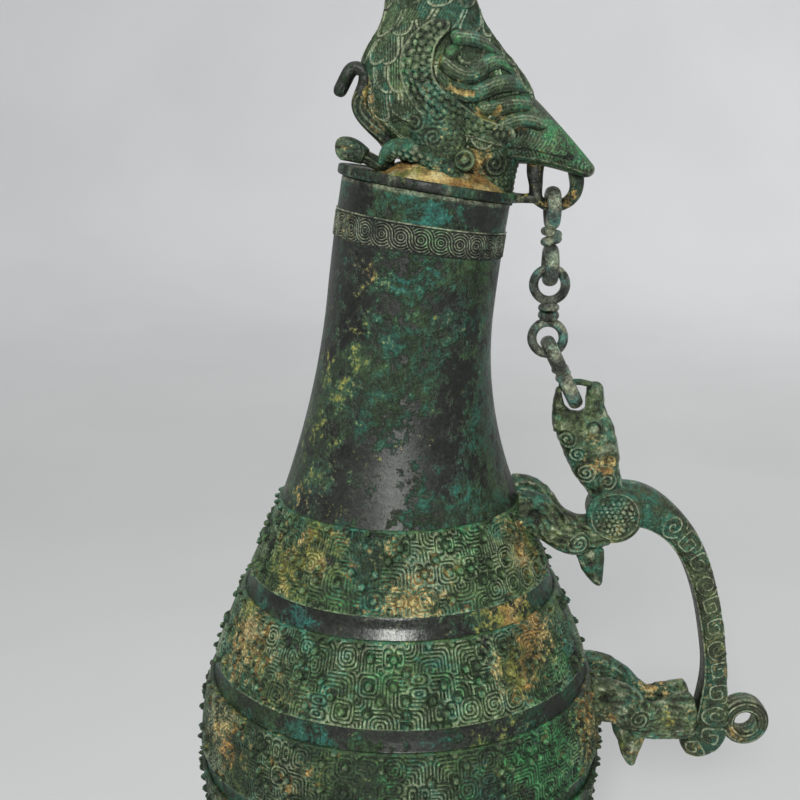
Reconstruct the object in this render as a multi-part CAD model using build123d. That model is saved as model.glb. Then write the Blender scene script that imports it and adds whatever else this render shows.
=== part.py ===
from build123d import *

import math
import os

# Bronze wine vessel: a gourd-shaped body with a bent neck, a lid in the shape of a bird, a handle in
# the shape of a climbing beast, and a chain of three links from the bird's tail to the beast's mouth.
# Millimetres, +Z up. The origin is the centre of the foot's underside. Bird and beast face -X, the
# handle stands on the +X side, and left is the -Y side.

# Vessel wall
FOOT_RADIUS = 48.0
FOOT_HEIGHT = 8.0
FOOT_WIDTH = 7.0
FOOT_ROUNDING = 1.5
BASE_RADIUS = 47.0
BELLY_RADIUS = 78.2
BELLY_HEIGHT = 92.0
SHOULDER_RADIUS = 45.4
SHOULDER_HEIGHT = 190.4
NECK_RADIUS = 31.0
NECK_LENGTH = 116.2
NECK_FLARE = 75.0
NECK_TILT = 9.5
WALL = 3.0
FLOOR = 4.0

# Raised ornament bands of the belly and the rope band under the mouth
BAND_RELIEF = 0.8
BAND_HEIGHT = 27.2
BAND_STEP = 34.8
BAND_COUNT = 4
ROPE_BAND_RELIEF = 0.6
ROPE_BAND_HEIGHT = 11.0
ROPE_BAND_DROP = 11.0

# Lid
LID_RADIUS = 32.4
LID_THICKNESS = 3.0
LID_ROUNDING = 0.8
LID_SEAT_GAP = 0.1
SPIGOT_DEPTH = 4.5
SPIGOT_WALL = 2.5
SPIGOT_CLEARANCE = 0.3

# Bird, measured from the centre of the vessel's mouth: height, front, back, half width
TORSO_SECTIONS = [
    (-6.0, 4.0, 31.0, 12.0),
    (8.0, -8.0, 33.0, 14.0),
    (16.0, -13.0, 36.0, 17.5),
    (25.0, -21.0, 39.0, 21.0),
    (34.0, -22.5, 37.5, 22.5),
    (45.0, -22.8, 30.0, 21.5),
    (56.0, -17.0, 21.2, 17.5),
    (66.0, -14.2, 16.8, 13.5),
]
HEAD_SECTIONS = [
    (66.0, -14.2, 16.8, 13.5),
    (75.0, -15.0, 12.5, 11.5),
    (84.0, -15.0, 9.5, 10.0),
    (90.0, -12.0, 7.0, 7.8),
    (94.0, -5.5, 2.5, 3.2),
]
# Tail and beak along their own lines: x, z, half height, half width
TAIL_LINE = [(24.0, 27.0, 13.0, 15.0), (40.4, 18.0, 8.4, 13.5), (50.4, 11.6, 5.4, 12.5), (60.0, 5.2, 2.2, 10.5)]
BEAK_LINE = [(-11.0, 80.5, 5.0, 4.2), (-17.5, 79.0, 3.6, 2.8), (-21.0, 75.5, 1.8, 1.4), (-21.8, 72.0, 0.6, 0.5)]
WING_THICKNESS = 2.4
WING_OUTLINE = [
    (-12.0, 54.0), (-16.0, 44.0), (-13.5, 34.0), (-3.0, 24.0), (14.0, 15.0), (24.0, 13.0),
    (30.0, 17.0), (44.0, 23.0), (38.0, 31.0), (30.0, 41.0), (20.0, 52.0), (4.0, 58.0),
]
# Thigh and foot of the bird: x, distance from the middle, z, half height, half width
THIGH_LINE = [
    (3.0, 15.0, 31.0, 8.5, 4.0), (3.5, 18.8, 22.0, 9.5, 5.0), (6.0, 19.2, 12.0, 7.5, 5.0), (7.0, 18.8, 0.0, 5.0, 4.5),
]
BIRD_FOOT_LINE = [(11.0, 19.0, 5.5, 5.0, 4.4), (-3.0, 18.0, 7.6, 4.4, 4.6), (-15.0, 14.5, 9.0, 2.8, 4.2)]
# Snake that the claw holds: x, distance from the middle, z
SNAKE_LINE = [
    (-31.0, 5.2, 12.2), (-20.0, 6.8, 8.6), (-13.5, 10.5, 7.6), (-14.5, 10.5, 19.5), (-22.0, 8.6, 29.2),
    (-22.3, 7.6, 40.5), (-29.0, 7.6, 40.2), (-31.2, 7.6, 32.6),
]
SNAKE_RADIUS = 2.2
SNAKE_BEND = 2.7
SNAKE_HEAD_LENGTH = 9.0
SNAKE_HEAD_RADIUS = 4.2

# Bar under the bird's tail, and the chain that hangs on it, from the centre of the mouth: x, z.
# The shares are link lengths over the drop from the chain's top wire to its lowest one.
BRACKET_RADIUS = 2.2
BRACKET_BEND = 4.0
BRACKET_PILLAR = (39.6, 12.0)
BRACKET_TAIL_END = (54.0, 9.0)
CHAIN_TOP = (46.1, -1.2)
LINK_WIRE_RADIUS = 2.1
LINK_LOOP_RADIUS = 5.9
LINK_WAIST_RADIUS = 3.0
LINK_PLAY = 0.3
LINK_SLACK = 8.0
UPPER_LINK_SHARE = 0.4133
MIDDLE_LINK_SHARE = 0.4032
UPPER_LINK_TILT = -0.5
MIDDLE_LINK_TILT = -0.5

# Handle. The beast holds the wall at two heights, the front paws under the shoulder and the hind paws
# over the belly's widest ring.
FRONT_PAW_DROP = 3.9
HIND_PAW_RISE = 18.0
FRONT_PAW_HEIGHT = SHOULDER_HEIGHT - FRONT_PAW_DROP
HIND_PAW_HEIGHT = BELLY_HEIGHT + HIND_PAW_RISE
# Arched back: share of the way down from the front hold to the hind hold, then x and z from that place,
# half height, half width
BACK_LINE = [
    (0.0, 32.1, -0.5, 8.5, 7.5), (0.0, 43.1, -0.5, 8.5, 7.2), (0.0, 54.1, -5.5, 6.8, 6.5),
    (0.15, 58.7, -3.0, 5.6, 6.0), (0.35, 59.3, -0.2, 5.0, 6.0), (0.5, 59.0, -2.2, 4.7, 6.0),
    (0.7, 56.1, -1.9, 4.7, 6.0), (0.9, 51.8, -1.6, 4.8, 6.2), (1.0, 48.7, -7.0, 6.2, 6.8),
    (1.0, 47.2, -19.0, 8.6, 7.2), (1.0, 46.7, -31.0, 6.0, 5.4),
]
# Measured from the front hold: shoulder disc, neck and skull (height, front, back, half width), jaws and
# front legs (x, distance from the middle, z, half height, half width)
SHOULDER_DISC_CENTRE = (34.9, -3.2)
SHOULDER_DISC_RADIUS = 11.0
SHOULDER_DISC_WIDTH = 17.0
SHOULDER_DISC_ROUNDING = 2.0
SKULL_SECTIONS = [
    (-2.5, 29.6, 41.1, 6.8), (4.9, 24.8, 39.7, 7.2), (12.9, 19.1, 37.4, 8.2), (20.8, 15.4, 36.5, 8.6),
    (27.5, 12.6, 35.1, 7.6), (32.5, 11.4, 33.7, 5.2), (35.5, 11.0, 31.4, 3.4),
]
JAW_LINE = [(14.4, 0.0, 29.5, 3.2, 3.3), (12.1, 0.0, 37.0, 1.9, 2.9), (13.0, 0.0, 45.8, 1.5, 2.3)]
SNOUT_LINE = [(28.2, 0.0, 30.5, 5.0, 3.4), (27.0, 0.0, 39.0, 3.7, 3.4), (26.8, 0.0, 47.7, 3.1, 2.9)]
MOUTH_CENTRE = (19.9, 40.7)
MOUTH_RADIUS = 5.6
MOUTH_BAR_RADIUS = 1.2
MOUTH_BAR_RISE = 1.6
FRONT_LEG_LINE = [
    (34.1, 5.2, -6.5, 7.0, 4.4), (27.1, 6.0, -11.0, 6.2, 4.2), (19.1, 8.0, -12.5, 5.8, 4.2),
    (12.1, 9.5, -8.0, 6.2, 4.5),
]
FRONT_PAW_SPREAD = 11.5
FRONT_PAW_SIZE = (8.0, 5.4)
ELBOW_LINE = [(26.1, 6.0, -15.5, 5.4, 3.4), (27.5, 6.0, -24.0, 4.4, 3.0), (30.4, 6.0, -31.9, 1.0, 1.2)]
# Measured from the hind hold: hind legs and the loop of the tail
HIND_LEG_LINE = [
    (40.7, 5.6, -13.0, 8.2, 4.4), (31.2, 6.6, -11.6, 8.8, 4.2), (21.5, 8.2, -11.0, 7.4, 4.2),
    (13.4, 10.0, -5.2, 7.9, 4.6),
]
HIND_PAW_SPREAD = 12.5
HIND_PAW_SIZE = (8.6, 5.6)
HOCK_LINE = [(16.3, 8.2, -15.0, 5.6, 3.4), (15.2, 8.2, -23.4, 4.2, 3.0), (16.4, 8.2, -31.0, 1.0, 1.2)]
PAW_REACH = 4.0
PAW_SINK = 4.0
PAW_TURN = 0.5
TAIL_LOOP_CENTRE = (61.8, -14.6)
TAIL_LOOP_RADIUS = 9.7
TAIL_LOOP_EYE = 4.0
TAIL_LOOP_WIDTH = 10.0
TAIL_LOOP_ROUNDING = 2.0

LEFT = -1.0
RIGHT = 1.0
OVAL_POINTS = 8


def belly_radius(height):
    """Outer radius below the shoulder: an ellipse up to the widest ring, then a cubic to the neck's slope."""
    if height < BELLY_HEIGHT:
        half_axis = (BELLY_HEIGHT - FOOT_HEIGHT) / math.sqrt(1.0 - (BASE_RADIUS / BELLY_RADIUS) ** 2)
        return BELLY_RADIUS * math.sqrt(1.0 - ((BELLY_HEIGHT - height) / half_axis) ** 2)
    span = SHOULDER_HEIGHT - BELLY_HEIGHT
    slope = -2.0 * (SHOULDER_RADIUS - NECK_RADIUS) / NECK_FLARE * span
    t = (height - BELLY_HEIGHT) / span
    return (
        (2 * t**3 - 3 * t**2 + 1) * BELLY_RADIUS + (3 * t**2 - 2 * t**3) * SHOULDER_RADIUS + (t**3 - t**2) * slope
    )


def neck_radius(along):
    """Outer radius of the neck at a length along its bent axis: a parabola that runs out at the flare's end."""
    rest = max(0.0, 1.0 - along / NECK_FLARE)
    return NECK_RADIUS + (SHOULDER_RADIUS - NECK_RADIUS) * rest**2


def neck_plane(along):
    """Plane across the neck's axis, which bends towards the handle on one arc from the shoulder up."""
    bend_radius = NECK_LENGTH / math.radians(NECK_TILT)
    angle = along / bend_radius
    centre = (bend_radius * (1.0 - math.cos(angle)), 0.0, SHOULDER_HEIGHT + bend_radius * math.sin(angle))
    across = (math.cos(angle), 0.0, -math.sin(angle))
    upward = (math.sin(angle), 0.0, math.cos(angle))
    return Plane(origin=centre, x_dir=across, z_dir=upward)


def spread(start, end, count):
    """Evenly spaced values from start to end, both included."""
    return [start + (end - start) * i / (count - 1) for i in range(count)]


def belly_rings(start, end, count, offset):
    return [Plane.XY.offset(z) * Circle(belly_radius(z) + offset) for z in spread(start, end, count)]


def neck_rings(start, end, count, offset):
    return [neck_plane(s) * Circle(neck_radius(s) + offset) for s in spread(start, end, count)]


def gourd(offset, bottom, neck_end):
    """Solid gourd inside the wall's outer face moved by offset, from a height up to a place on the neck."""
    lower = belly_rings(bottom, BELLY_HEIGHT, 6, offset)
    upper = belly_rings(BELLY_HEIGHT, SHOULDER_HEIGHT, 7, offset)
    neck = neck_rings(0.0, neck_end, 10, offset)
    return loft(lower + upper[1:] + neck[1:])


def make_vessel():
    """The wall with its raised bands, and the same outer form without the hollow."""
    filled = gourd(0.0, FOOT_HEIGHT, NECK_LENGTH)
    for index in range(BAND_COUNT):
        top = SHOULDER_HEIGHT - index * BAND_STEP
        filled += loft(belly_rings(top - BAND_HEIGHT, top, 5, BAND_RELIEF))
    rope_top = NECK_LENGTH - ROPE_BAND_DROP
    filled += loft(neck_rings(rope_top - ROPE_BAND_HEIGHT, rope_top, 3, ROPE_BAND_RELIEF))
    hollow = gourd(-WALL, FOOT_HEIGHT + FLOOR, NECK_LENGTH + WALL)
    return filled - hollow, filled


def make_ring_foot():
    outer = Cylinder(FOOT_RADIUS, FOOT_HEIGHT, align=(Align.CENTER, Align.CENTER, Align.MIN))
    outer = fillet(outer.edges().filter_by(GeomType.CIRCLE), FOOT_ROUNDING)
    bore = Cylinder(FOOT_RADIUS - FOOT_WIDTH, FOOT_HEIGHT, align=(Align.CENTER, Align.CENTER, Align.MIN))
    return outer - bore


def oval(half_height, half_width):
    """Closed smooth oval round the origin, half_height along local x and half_width along local y."""
    angles = [2.0 * math.pi * i / OVAL_POINTS for i in range(OVAL_POINTS)]
    points = [(half_height * math.cos(a), half_width * math.sin(a)) for a in angles]
    return make_face(Spline(*points, periodic=True))


def stacked(sections, origin_x=0.0, origin_z=0.0):
    """Loft through level ovals, each given by height, front, back and half width."""
    faces = []
    for height, front, back, half_width in sections:
        plane = Plane(origin=(origin_x + (front + back) / 2.0, 0.0, origin_z + height))
        faces.append(plane * oval((back - front) / 2.0, half_width))
    return loft(faces)


def limb(line, side=RIGHT, origin_x=0.0, origin_z=0.0):
    """Loft through ovals set square to a line of points, each with its half height and half width."""
    points = [Vector(origin_x + x, side * y, origin_z + z) for x, y, z, _, _ in line]
    faces = []
    for index, (_, _, _, half_height, half_width) in enumerate(line):
        before = points[max(index - 1, 0)]
        after = points[min(index + 1, len(points) - 1)]
        along = (after - before).normalized()
        across = Vector(0, 1, 0).cross(along).normalized()
        faces.append(Plane(origin=points[index], x_dir=across, z_dir=along) * oval(half_height, half_width))
    return loft(faces)


def flat_line(line):
    """Adds a zero distance from the middle to a line given by x, z, half height and half width."""
    return [(x, 0.0, z, half_height, half_width) for x, z, half_height, half_width in line]


def round_bar(points, radius, bend):
    """Round bar along straight runs joined by tangent arcs."""
    path = FilletPolyline(*points, radius=bend)
    return sweep(Plane(origin=path @ 0, z_dir=path % 0) * Circle(radius), path=path)


def seat(piece, *carriers):
    """Cuts a piece back to the faces of what carries it and keeps its main body."""
    for carrier in carriers:
        piece = piece - carrier
    return max(piece.solids(), key=lambda solid: solid.volume)


def wall_x(height, sideways):
    """Distance from the axis plane to the wall's outer face at a height, sideways off the middle."""
    return math.sqrt(belly_radius(height) ** 2 - sideways**2)


def back_ovals(front_hold, hind_hold):
    """Ovals of the arched back, each set off from a place on the straight line between the two holds."""
    ovals = []
    for share, out, up, half_height, half_width in BACK_LINE:
        place = front_hold + (hind_hold - front_hold) * share
        ovals.append((place.X + out, 0.0, place.Z + up, half_height, half_width))
    return ovals


def leg_to_wall(line, hold, paw_spread, paw_size, side):
    """Leg of the beast from its body to a paw that beds on the vessel's wall at a hold."""
    outside = wall_x(hold.Z, paw_spread) - hold.X
    paw = [
        (outside + PAW_REACH, paw_spread - PAW_TURN, -PAW_TURN, *paw_size),
        (outside - PAW_SINK, paw_spread, 0.0, *paw_size),
    ]
    return limb(line + paw, side, hold.X, hold.Z)


def link(top, bottom, turned):
    """Chain link of two wire rings joined by a twisted waist, from its top wire to its bottom wire."""
    down = (bottom - top).normalized()
    sideways = Vector(0, 1, 0) if turned else Vector(0, 1, 0).cross(down)
    facing = down.cross(sideways)
    upper_centre = top + down * LINK_LOOP_RADIUS
    lower_centre = bottom - down * LINK_LOOP_RADIUS
    waist = Plane(origin=(upper_centre + lower_centre) / 2.0, z_dir=down)
    waist_length = (lower_centre - upper_centre).length - 2.0 * LINK_LOOP_RADIUS
    made = waist * Cylinder(LINK_WAIST_RADIUS, waist_length)
    for centre in (upper_centre, lower_centre):
        made += Plane(origin=centre, x_dir=down, z_dir=facing) * Torus(LINK_LOOP_RADIUS, LINK_WIRE_RADIUS)
    return made


def tilted(start, length, degrees):
    """Point at a length below start, leaning towards +X by an angle from the vertical."""
    lean = math.radians(degrees)
    return start + Vector(math.sin(lean), 0, -math.cos(lean)) * length


# Vessel and foot
vessel_body, vessel_filled = make_vessel()
ring_foot = make_ring_foot()

# Lid plate with its spigot, on the tilted plane of the mouth
mouth = neck_plane(NECK_LENGTH)
mouth_x = mouth.origin.X
mouth_z = mouth.origin.Z
lid_disc = Cylinder(LID_RADIUS, LID_THICKNESS, align=(Align.CENTER, Align.CENTER, Align.MIN))
lid_disc = fillet(lid_disc.edges().filter_by(GeomType.CIRCLE), LID_ROUNDING)
spigot_radius = NECK_RADIUS - WALL - SPIGOT_CLEARANCE
spigot_length = SPIGOT_DEPTH + LID_SEAT_GAP
spigot_place = Pos(0, 0, -spigot_length)
spigot = spigot_place * Cylinder(spigot_radius, spigot_length, align=(Align.CENTER, Align.CENTER, Align.MIN))
spigot -= spigot_place * Cylinder(
    spigot_radius - SPIGOT_WALL, spigot_length, align=(Align.CENTER, Align.CENTER, Align.MIN)
)
lid_plate = mouth.offset(LID_SEAT_GAP) * (lid_disc + spigot)
lid_blank = mouth.offset(LID_SEAT_GAP + LID_THICKNESS - 2.0 * LID_RADIUS) * Cylinder(
    2.0 * LID_RADIUS, 2.0 * LID_RADIUS, align=(Align.CENTER, Align.CENTER, Align.MIN)
)

# Bird: body with tail, head with beak, wings, legs and the snakes in its claws
torso = stacked(TORSO_SECTIONS, mouth_x, mouth_z)
tail = limb(flat_line(TAIL_LINE), RIGHT, mouth_x, mouth_z)
bird_body = seat(torso + tail, lid_blank)
bird_head = stacked(HEAD_SECTIONS, mouth_x, mouth_z) + limb(flat_line(BEAK_LINE), RIGHT, mouth_x, mouth_z)
fuller_sections = [(z, a - WING_THICKNESS, b + WING_THICKNESS, w + WING_THICKNESS) for z, a, b, w in TORSO_SECTIONS]
fuller_tail = [(x, z, h + WING_THICKNESS, w + WING_THICKNESS) for x, z, h, w in TAIL_LINE]
fuller_body = stacked(fuller_sections, mouth_x, mouth_z)
fuller_body += limb(flat_line(fuller_tail), RIGHT, mouth_x, mouth_z)
wing_edge = Spline(*[(mouth_x + x, mouth_z + z) for x, z in WING_OUTLINE], periodic=True)
wing_face = Plane.XZ * make_face(wing_edge)
wings = {}
bird_legs = {}
snakes = {}
for name, side in (("left", LEFT), ("right", RIGHT)):
    wing_block = extrude(wing_face, amount=2.0 * LID_RADIUS, dir=(0, side, 0))
    wings[name] = seat(wing_block & fuller_body, bird_body)
    leg = limb(THIGH_LINE, side, mouth_x, mouth_z) + limb(BIRD_FOOT_LINE, side, mouth_x, mouth_z)
    bird_legs[name] = seat(leg, bird_body, lid_blank, wings[name])
    snake_points = [Vector(mouth_x + x, side * y, mouth_z + z) for x, y, z in SNAKE_LINE]
    snake = round_bar(snake_points, SNAKE_RADIUS, SNAKE_BEND)
    head_end = snake_points[0]
    head_way = (snake_points[1] - head_end).normalized()
    head_place = Plane(origin=head_end + head_way * (SNAKE_HEAD_LENGTH / 2.0 - SNAKE_RADIUS), z_dir=head_way)
    snake += head_place * Cylinder(SNAKE_HEAD_RADIUS, SNAKE_HEAD_LENGTH)
    snakes[name] = seat(snake, bird_body, lid_blank, bird_legs[name])

# Bar under the tail, from the lid's rim and the tail round the chain's top wire
chain_top = Vector(mouth_x + CHAIN_TOP[0], 0, mouth_z + CHAIN_TOP[1])
hang_drop = LINK_WIRE_RADIUS + BRACKET_RADIUS + LINK_PLAY
pillar_x = mouth_x + BRACKET_PILLAR[0]
bracket_line = [
    Vector(pillar_x, 0, mouth_z + BRACKET_PILLAR[1]),
    Vector(pillar_x, 0, chain_top.Z - hang_drop),
    Vector(2.0 * chain_top.X - pillar_x, 0, chain_top.Z - hang_drop),
    Vector(mouth_x + BRACKET_TAIL_END[0], 0, mouth_z + BRACKET_TAIL_END[1]),
]
tail_bracket = round_bar(bracket_line, BRACKET_RADIUS, BRACKET_BEND)
rim_point = mouth.from_local_coords(Vector(LID_RADIUS - LID_ROUNDING, 0, LID_SEAT_GAP + LID_THICKNESS / 2.0))
stub_end = Vector(pillar_x, 0, rim_point.Z)
stub_place = Plane(origin=(rim_point + stub_end) / 2.0, z_dir=stub_end - rim_point)
tail_bracket += stub_place * Cylinder(LID_THICKNESS / 2.0, (stub_end - rim_point).length)
tail_bracket = seat(tail_bracket, bird_body, lid_plate)

# Where the beast holds the wall, and the mouth that the chain ends in
front_hold = Vector(belly_radius(FRONT_PAW_HEIGHT), 0, FRONT_PAW_HEIGHT)
hind_hold = Vector(belly_radius(HIND_PAW_HEIGHT), 0, HIND_PAW_HEIGHT)
mouth_hole_centre = front_hold + Vector(MOUTH_CENTRE[0], 0, MOUTH_CENTRE[1])
bar_height = mouth_hole_centre.Z + MOUTH_RADIUS + MOUTH_BAR_RADIUS

# Chain: each link hangs on the wire above it, and the last one ends in the beast's mouth
wire_step = 2.0 * LINK_WIRE_RADIUS + LINK_PLAY
lower_end = Vector(mouth_hole_centre.X - LINK_PLAY, 0, bar_height - LINK_SLACK)
chain_drop = chain_top.Z - lower_end.Z
upper_end = tilted(chain_top, chain_drop * UPPER_LINK_SHARE, UPPER_LINK_TILT)
middle_top = tilted(upper_end, -wire_step, MIDDLE_LINK_TILT)
middle_end = tilted(middle_top, chain_drop * MIDDLE_LINK_SHARE, MIDDLE_LINK_TILT)
lower_top = tilted(middle_end, -wire_step, MIDDLE_LINK_TILT)
chain_link_upper = link(chain_top, upper_end, True)
chain_link_middle = link(middle_top, middle_end, False)
chain_link_lower = link(lower_top, lower_end, True)

# Beast: arched back with shoulder and rump, head with jaws, bar across the mouth, legs and tail
shoulder_disc = Cylinder(SHOULDER_DISC_RADIUS, SHOULDER_DISC_WIDTH)
shoulder_disc = fillet(shoulder_disc.edges().filter_by(GeomType.CIRCLE), SHOULDER_DISC_ROUNDING)
shoulder_centre = front_hold + Vector(SHOULDER_DISC_CENTRE[0], 0, SHOULDER_DISC_CENTRE[1])
handle_back = limb(back_ovals(front_hold, hind_hold)) + Plane(origin=shoulder_centre, z_dir=(0, 1, 0)) * shoulder_disc
mouth_hole = Plane(origin=mouth_hole_centre, z_dir=(0, 1, 0)) * Cylinder(MOUTH_RADIUS, 2.0 * SHOULDER_DISC_WIDTH)
jaw = limb(JAW_LINE, RIGHT, front_hold.X, front_hold.Z)
snout = limb(SNOUT_LINE, RIGHT, front_hold.X, front_hold.Z)
skull = stacked(SKULL_SECTIONS, front_hold.X, front_hold.Z)
beast_head = seat(skull + jaw + snout, handle_back, mouth_hole)
bar_ends = [Vector(front_hold.X + line[-1][0], 0, bar_height - MOUTH_BAR_RISE) for line in (JAW_LINE, SNOUT_LINE)]
bar_path = ThreePointArc(bar_ends[0], Vector(mouth_hole_centre.X, 0, bar_height), bar_ends[1])
mouth_bar = sweep(Plane(origin=bar_path @ 0, z_dir=bar_path % 0) * Circle(MOUTH_BAR_RADIUS), path=bar_path)
mouth_bar = seat(mouth_bar, beast_head)
front_legs = {}
hind_legs = {}
for name, side in (("left", LEFT), ("right", RIGHT)):
    front = leg_to_wall(FRONT_LEG_LINE, front_hold, FRONT_PAW_SPREAD, FRONT_PAW_SIZE, side)
    front += limb(ELBOW_LINE, side, front_hold.X, front_hold.Z)
    front_legs[name] = seat(front, handle_back, beast_head, vessel_filled)
    hind = leg_to_wall(HIND_LEG_LINE, hind_hold, HIND_PAW_SPREAD, HIND_PAW_SIZE, side)
    hind += limb(HOCK_LINE, side, hind_hold.X, hind_hold.Z)
    hind_legs[name] = seat(hind, handle_back, vessel_filled)
loop_ring = Cylinder(TAIL_LOOP_RADIUS, TAIL_LOOP_WIDTH)
loop_ring = fillet(loop_ring.edges().filter_by(GeomType.CIRCLE), TAIL_LOOP_ROUNDING)
loop_ring -= Cylinder(TAIL_LOOP_EYE, TAIL_LOOP_WIDTH)
loop_centre = hind_hold + Vector(TAIL_LOOP_CENTRE[0], 0, TAIL_LOOP_CENTRE[1])
tail_loop = seat(Plane(origin=loop_centre, z_dir=(0, 1, 0)) * loop_ring, handle_back)

nodes = {
    "vessel_body": vessel_body,
    "ring_foot": ring_foot,
    "handle_back": handle_back,
    "beast_head": beast_head,
    "mouth_bar": mouth_bar,
    "front_leg_left": front_legs["left"],
    "front_leg_right": front_legs["right"],
    "hind_leg_left": hind_legs["left"],
    "hind_leg_right": hind_legs["right"],
    "tail_loop": tail_loop,
    "lid_plate": lid_plate,
    "bird_body": bird_body,
    "bird_head": bird_head,
    "wing_left": wings["left"],
    "wing_right": wings["right"],
    "bird_leg_left": bird_legs["left"],
    "bird_leg_right": bird_legs["right"],
    "snake_left": snakes["left"],
    "snake_right": snakes["right"],
    "tail_bracket": tail_bracket,
    "chain_link_upper": chain_link_upper,
    "chain_link_middle": chain_link_middle,
    "chain_link_lower": chain_link_lower,
}

os.makedirs("parts", exist_ok=True)
for name, solid in nodes.items():
    export_step(solid, f"parts/{name}.step")
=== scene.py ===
import math

import bpy
import numpy as np
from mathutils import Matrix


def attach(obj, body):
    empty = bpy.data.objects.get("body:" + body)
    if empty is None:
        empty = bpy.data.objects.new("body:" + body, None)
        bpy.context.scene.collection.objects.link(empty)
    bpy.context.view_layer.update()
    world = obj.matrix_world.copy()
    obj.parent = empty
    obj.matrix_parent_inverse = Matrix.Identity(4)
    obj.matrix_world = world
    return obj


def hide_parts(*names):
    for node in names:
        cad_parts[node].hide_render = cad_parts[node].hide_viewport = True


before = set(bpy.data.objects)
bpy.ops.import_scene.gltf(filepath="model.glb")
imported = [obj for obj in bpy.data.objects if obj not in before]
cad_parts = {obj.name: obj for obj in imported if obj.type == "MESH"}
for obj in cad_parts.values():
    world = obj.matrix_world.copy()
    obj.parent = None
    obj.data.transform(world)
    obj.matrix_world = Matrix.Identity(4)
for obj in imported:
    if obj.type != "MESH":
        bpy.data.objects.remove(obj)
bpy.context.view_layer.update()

bl_info = {
    "name": "Bronze gourd vessel",
    "version": (1, 0, 0),
    "blender": (4, 5, 0),
    "location": "3D View > Sidebar > Vessel",
    "description": "Cast bronze gourd vessel with a bird lid, a beast handle and a chain",
    "category": "Object",
}

# Sizes in millimetres, the same as the solids. +Z up, handle on +X, left is -Y.
MM = 0.001
FOOT_RADIUS, FOOT_HEIGHT, FOOT_WIDTH = 48.0, 8.0, 7.0
BASE_RADIUS, BELLY_RADIUS, BELLY_HEIGHT = 47.0, 78.2, 92.0
SHOULDER_RADIUS, SHOULDER_HEIGHT = 45.4, 190.4
NECK_RADIUS, NECK_LENGTH, NECK_FLARE = 31.0, 116.2, 75.0
NECK_TILT = math.radians(9.5)
NECK_BEND = NECK_LENGTH / NECK_TILT
WALL, FLOOR = 3.0, 4.0
BAND_HEIGHT, BAND_STEP, BAND_COUNT = 27.2, 34.8, 4
ROPE_BAND_HEIGHT, ROPE_BAND_DROP = 11.0, 11.0
LID_RADIUS, LID_THICKNESS, LID_GAP, SPIGOT_DEPTH = 32.4, 3.0, 0.1, 4.5
MOUTH_X = NECK_BEND * (1.0 - math.cos(NECK_TILT))
MOUTH_Z = SHOULDER_HEIGHT + NECK_BEND * math.sin(NECK_TILT)
MOUTH = (MOUTH_X, MOUTH_Z)
HIGHEST = SHOULDER_HEIGHT + NECK_LENGTH
# Belly bands from the top: tint of the skin and spacing of the front's points. Then the spacing at the back,
# the angle by which the front reaches past the outline, rows of figures, lines to a figure, the plain lip's
# height along the wall, how far the ground between the lines and the lip stand out, and the depth of the
# strips between the bands. Last the rope band's eyes round the neck, and its lines to a pitch.
BAND_TINTS, FRONT_SPACING, BACK_SPACING = (1.85, 1.9, 1.15, 1.0), (0.29, 0.29, 0.32, 0.42), 0.66
FRONT_EXTRA, BAND_ROWS, FIGURE_LINES = 0.1, 3, 7.0
BAND_LIP, BAND_GROUND, BAND_LIP_OUT = 0.7, 0.4, 0.95
STRIP_HOLLOW = 0.7
ROPE_EYES, ROPE_LINES = 28, 7.0
# Nipples in the bands: radius in cells, the share of edges and of corners and middles that carry one, and the
# hollow ring round one, its radius and width in radii of the nipple
NIPPLE_REACH, EDGE_SHARE, CORNER_SHARE = 0.18, 0.13, 0.46
RING_REACH, RING_WIDTH = 1.1, 0.22
# How far the first and last points of a band keep from its edges, and how deep in the wall its ends are
# closed
BAND_INSET, BAND_END_DEPTH = 0.12, 2.5
SPIGOT_CLEARANCE, LID_RIM_OUT = 0.3, 0.5

# Bird, from the centre of the mouth: height, front, back, half width
TORSO = [(-6, 4, 31, 12), (8, -8, 33, 14), (16, -13, 36, 17.5), (25, -21, 39, 21), (34, -22.5, 37.5, 22.5),
         (45, -22.8, 30, 21.5), (56, -17, 21.2, 17.5), (66, -14.2, 16.8, 13.5)]
HEAD = [(64, -14.3, 17.4, 13.8), (66, -14.2, 16.8, 13.5), (75, -15, 12.5, 11.5), (84, -15, 9.5, 10),
        (90, -12, 7, 7.8), (94, -5.5, 2.5, 3.2)]
TAIL = [(24, 0, 24.5, 15.5, 15), (34, 0, 20.2, 12.2, 14), (40.4, 0, 17.2, 9.4, 13.5),
        (50.4, 0, 11.5, 5.5, 12.5), (60, 0, 5.2, 2.2, 10.5)]
BEAK = [(-11, 0, 80.5, 5, 4.2), (-17.5, 0, 79, 3.6, 2.8), (-21, 0, 75.5, 1.8, 1.4), (-21.8, 0, 72, 0.6, 0.5)]
WING_EDGE = [(-12, 54), (-16, 44), (-13.5, 34), (-3, 24), (14, 15), (24, 13), (30, 17), (44, 23), (38, 31),
             (30, 41), (20, 52), (4, 58)]
WING_THICKNESS = 2.4
WING_SCALES = [(4, 55.5), (-2, 49.5), (-4.2, 43), (-3.4, 37), (0.3, 31), (6.2, 26.5), (13.4, 22.9),
               (20.6, 20.2), (27, 18.5)]
WING_LOBES = [([(10, 51.5), (17, 51), (25, 47.6)], 3.0),
              ([(5.5, 43.2), (8.6, 40.6), (14, 38.8), (18, 40)], 3.0),
              ([(16.5, 40), (21.5, 43.4), (27.5, 43.6), (32, 41)], 3.3),
              ([(9, 34), (14.6, 32.8), (23.6, 35.8), (34, 36.4)], 3.4),
              ([(19, 27.6), (23.8, 28.2), (28.3, 29.3), (39, 28.6)], 3.3),
              ([(27, 22.6), (34, 24.4), (42.5, 21.8)], 3.0)]
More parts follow.
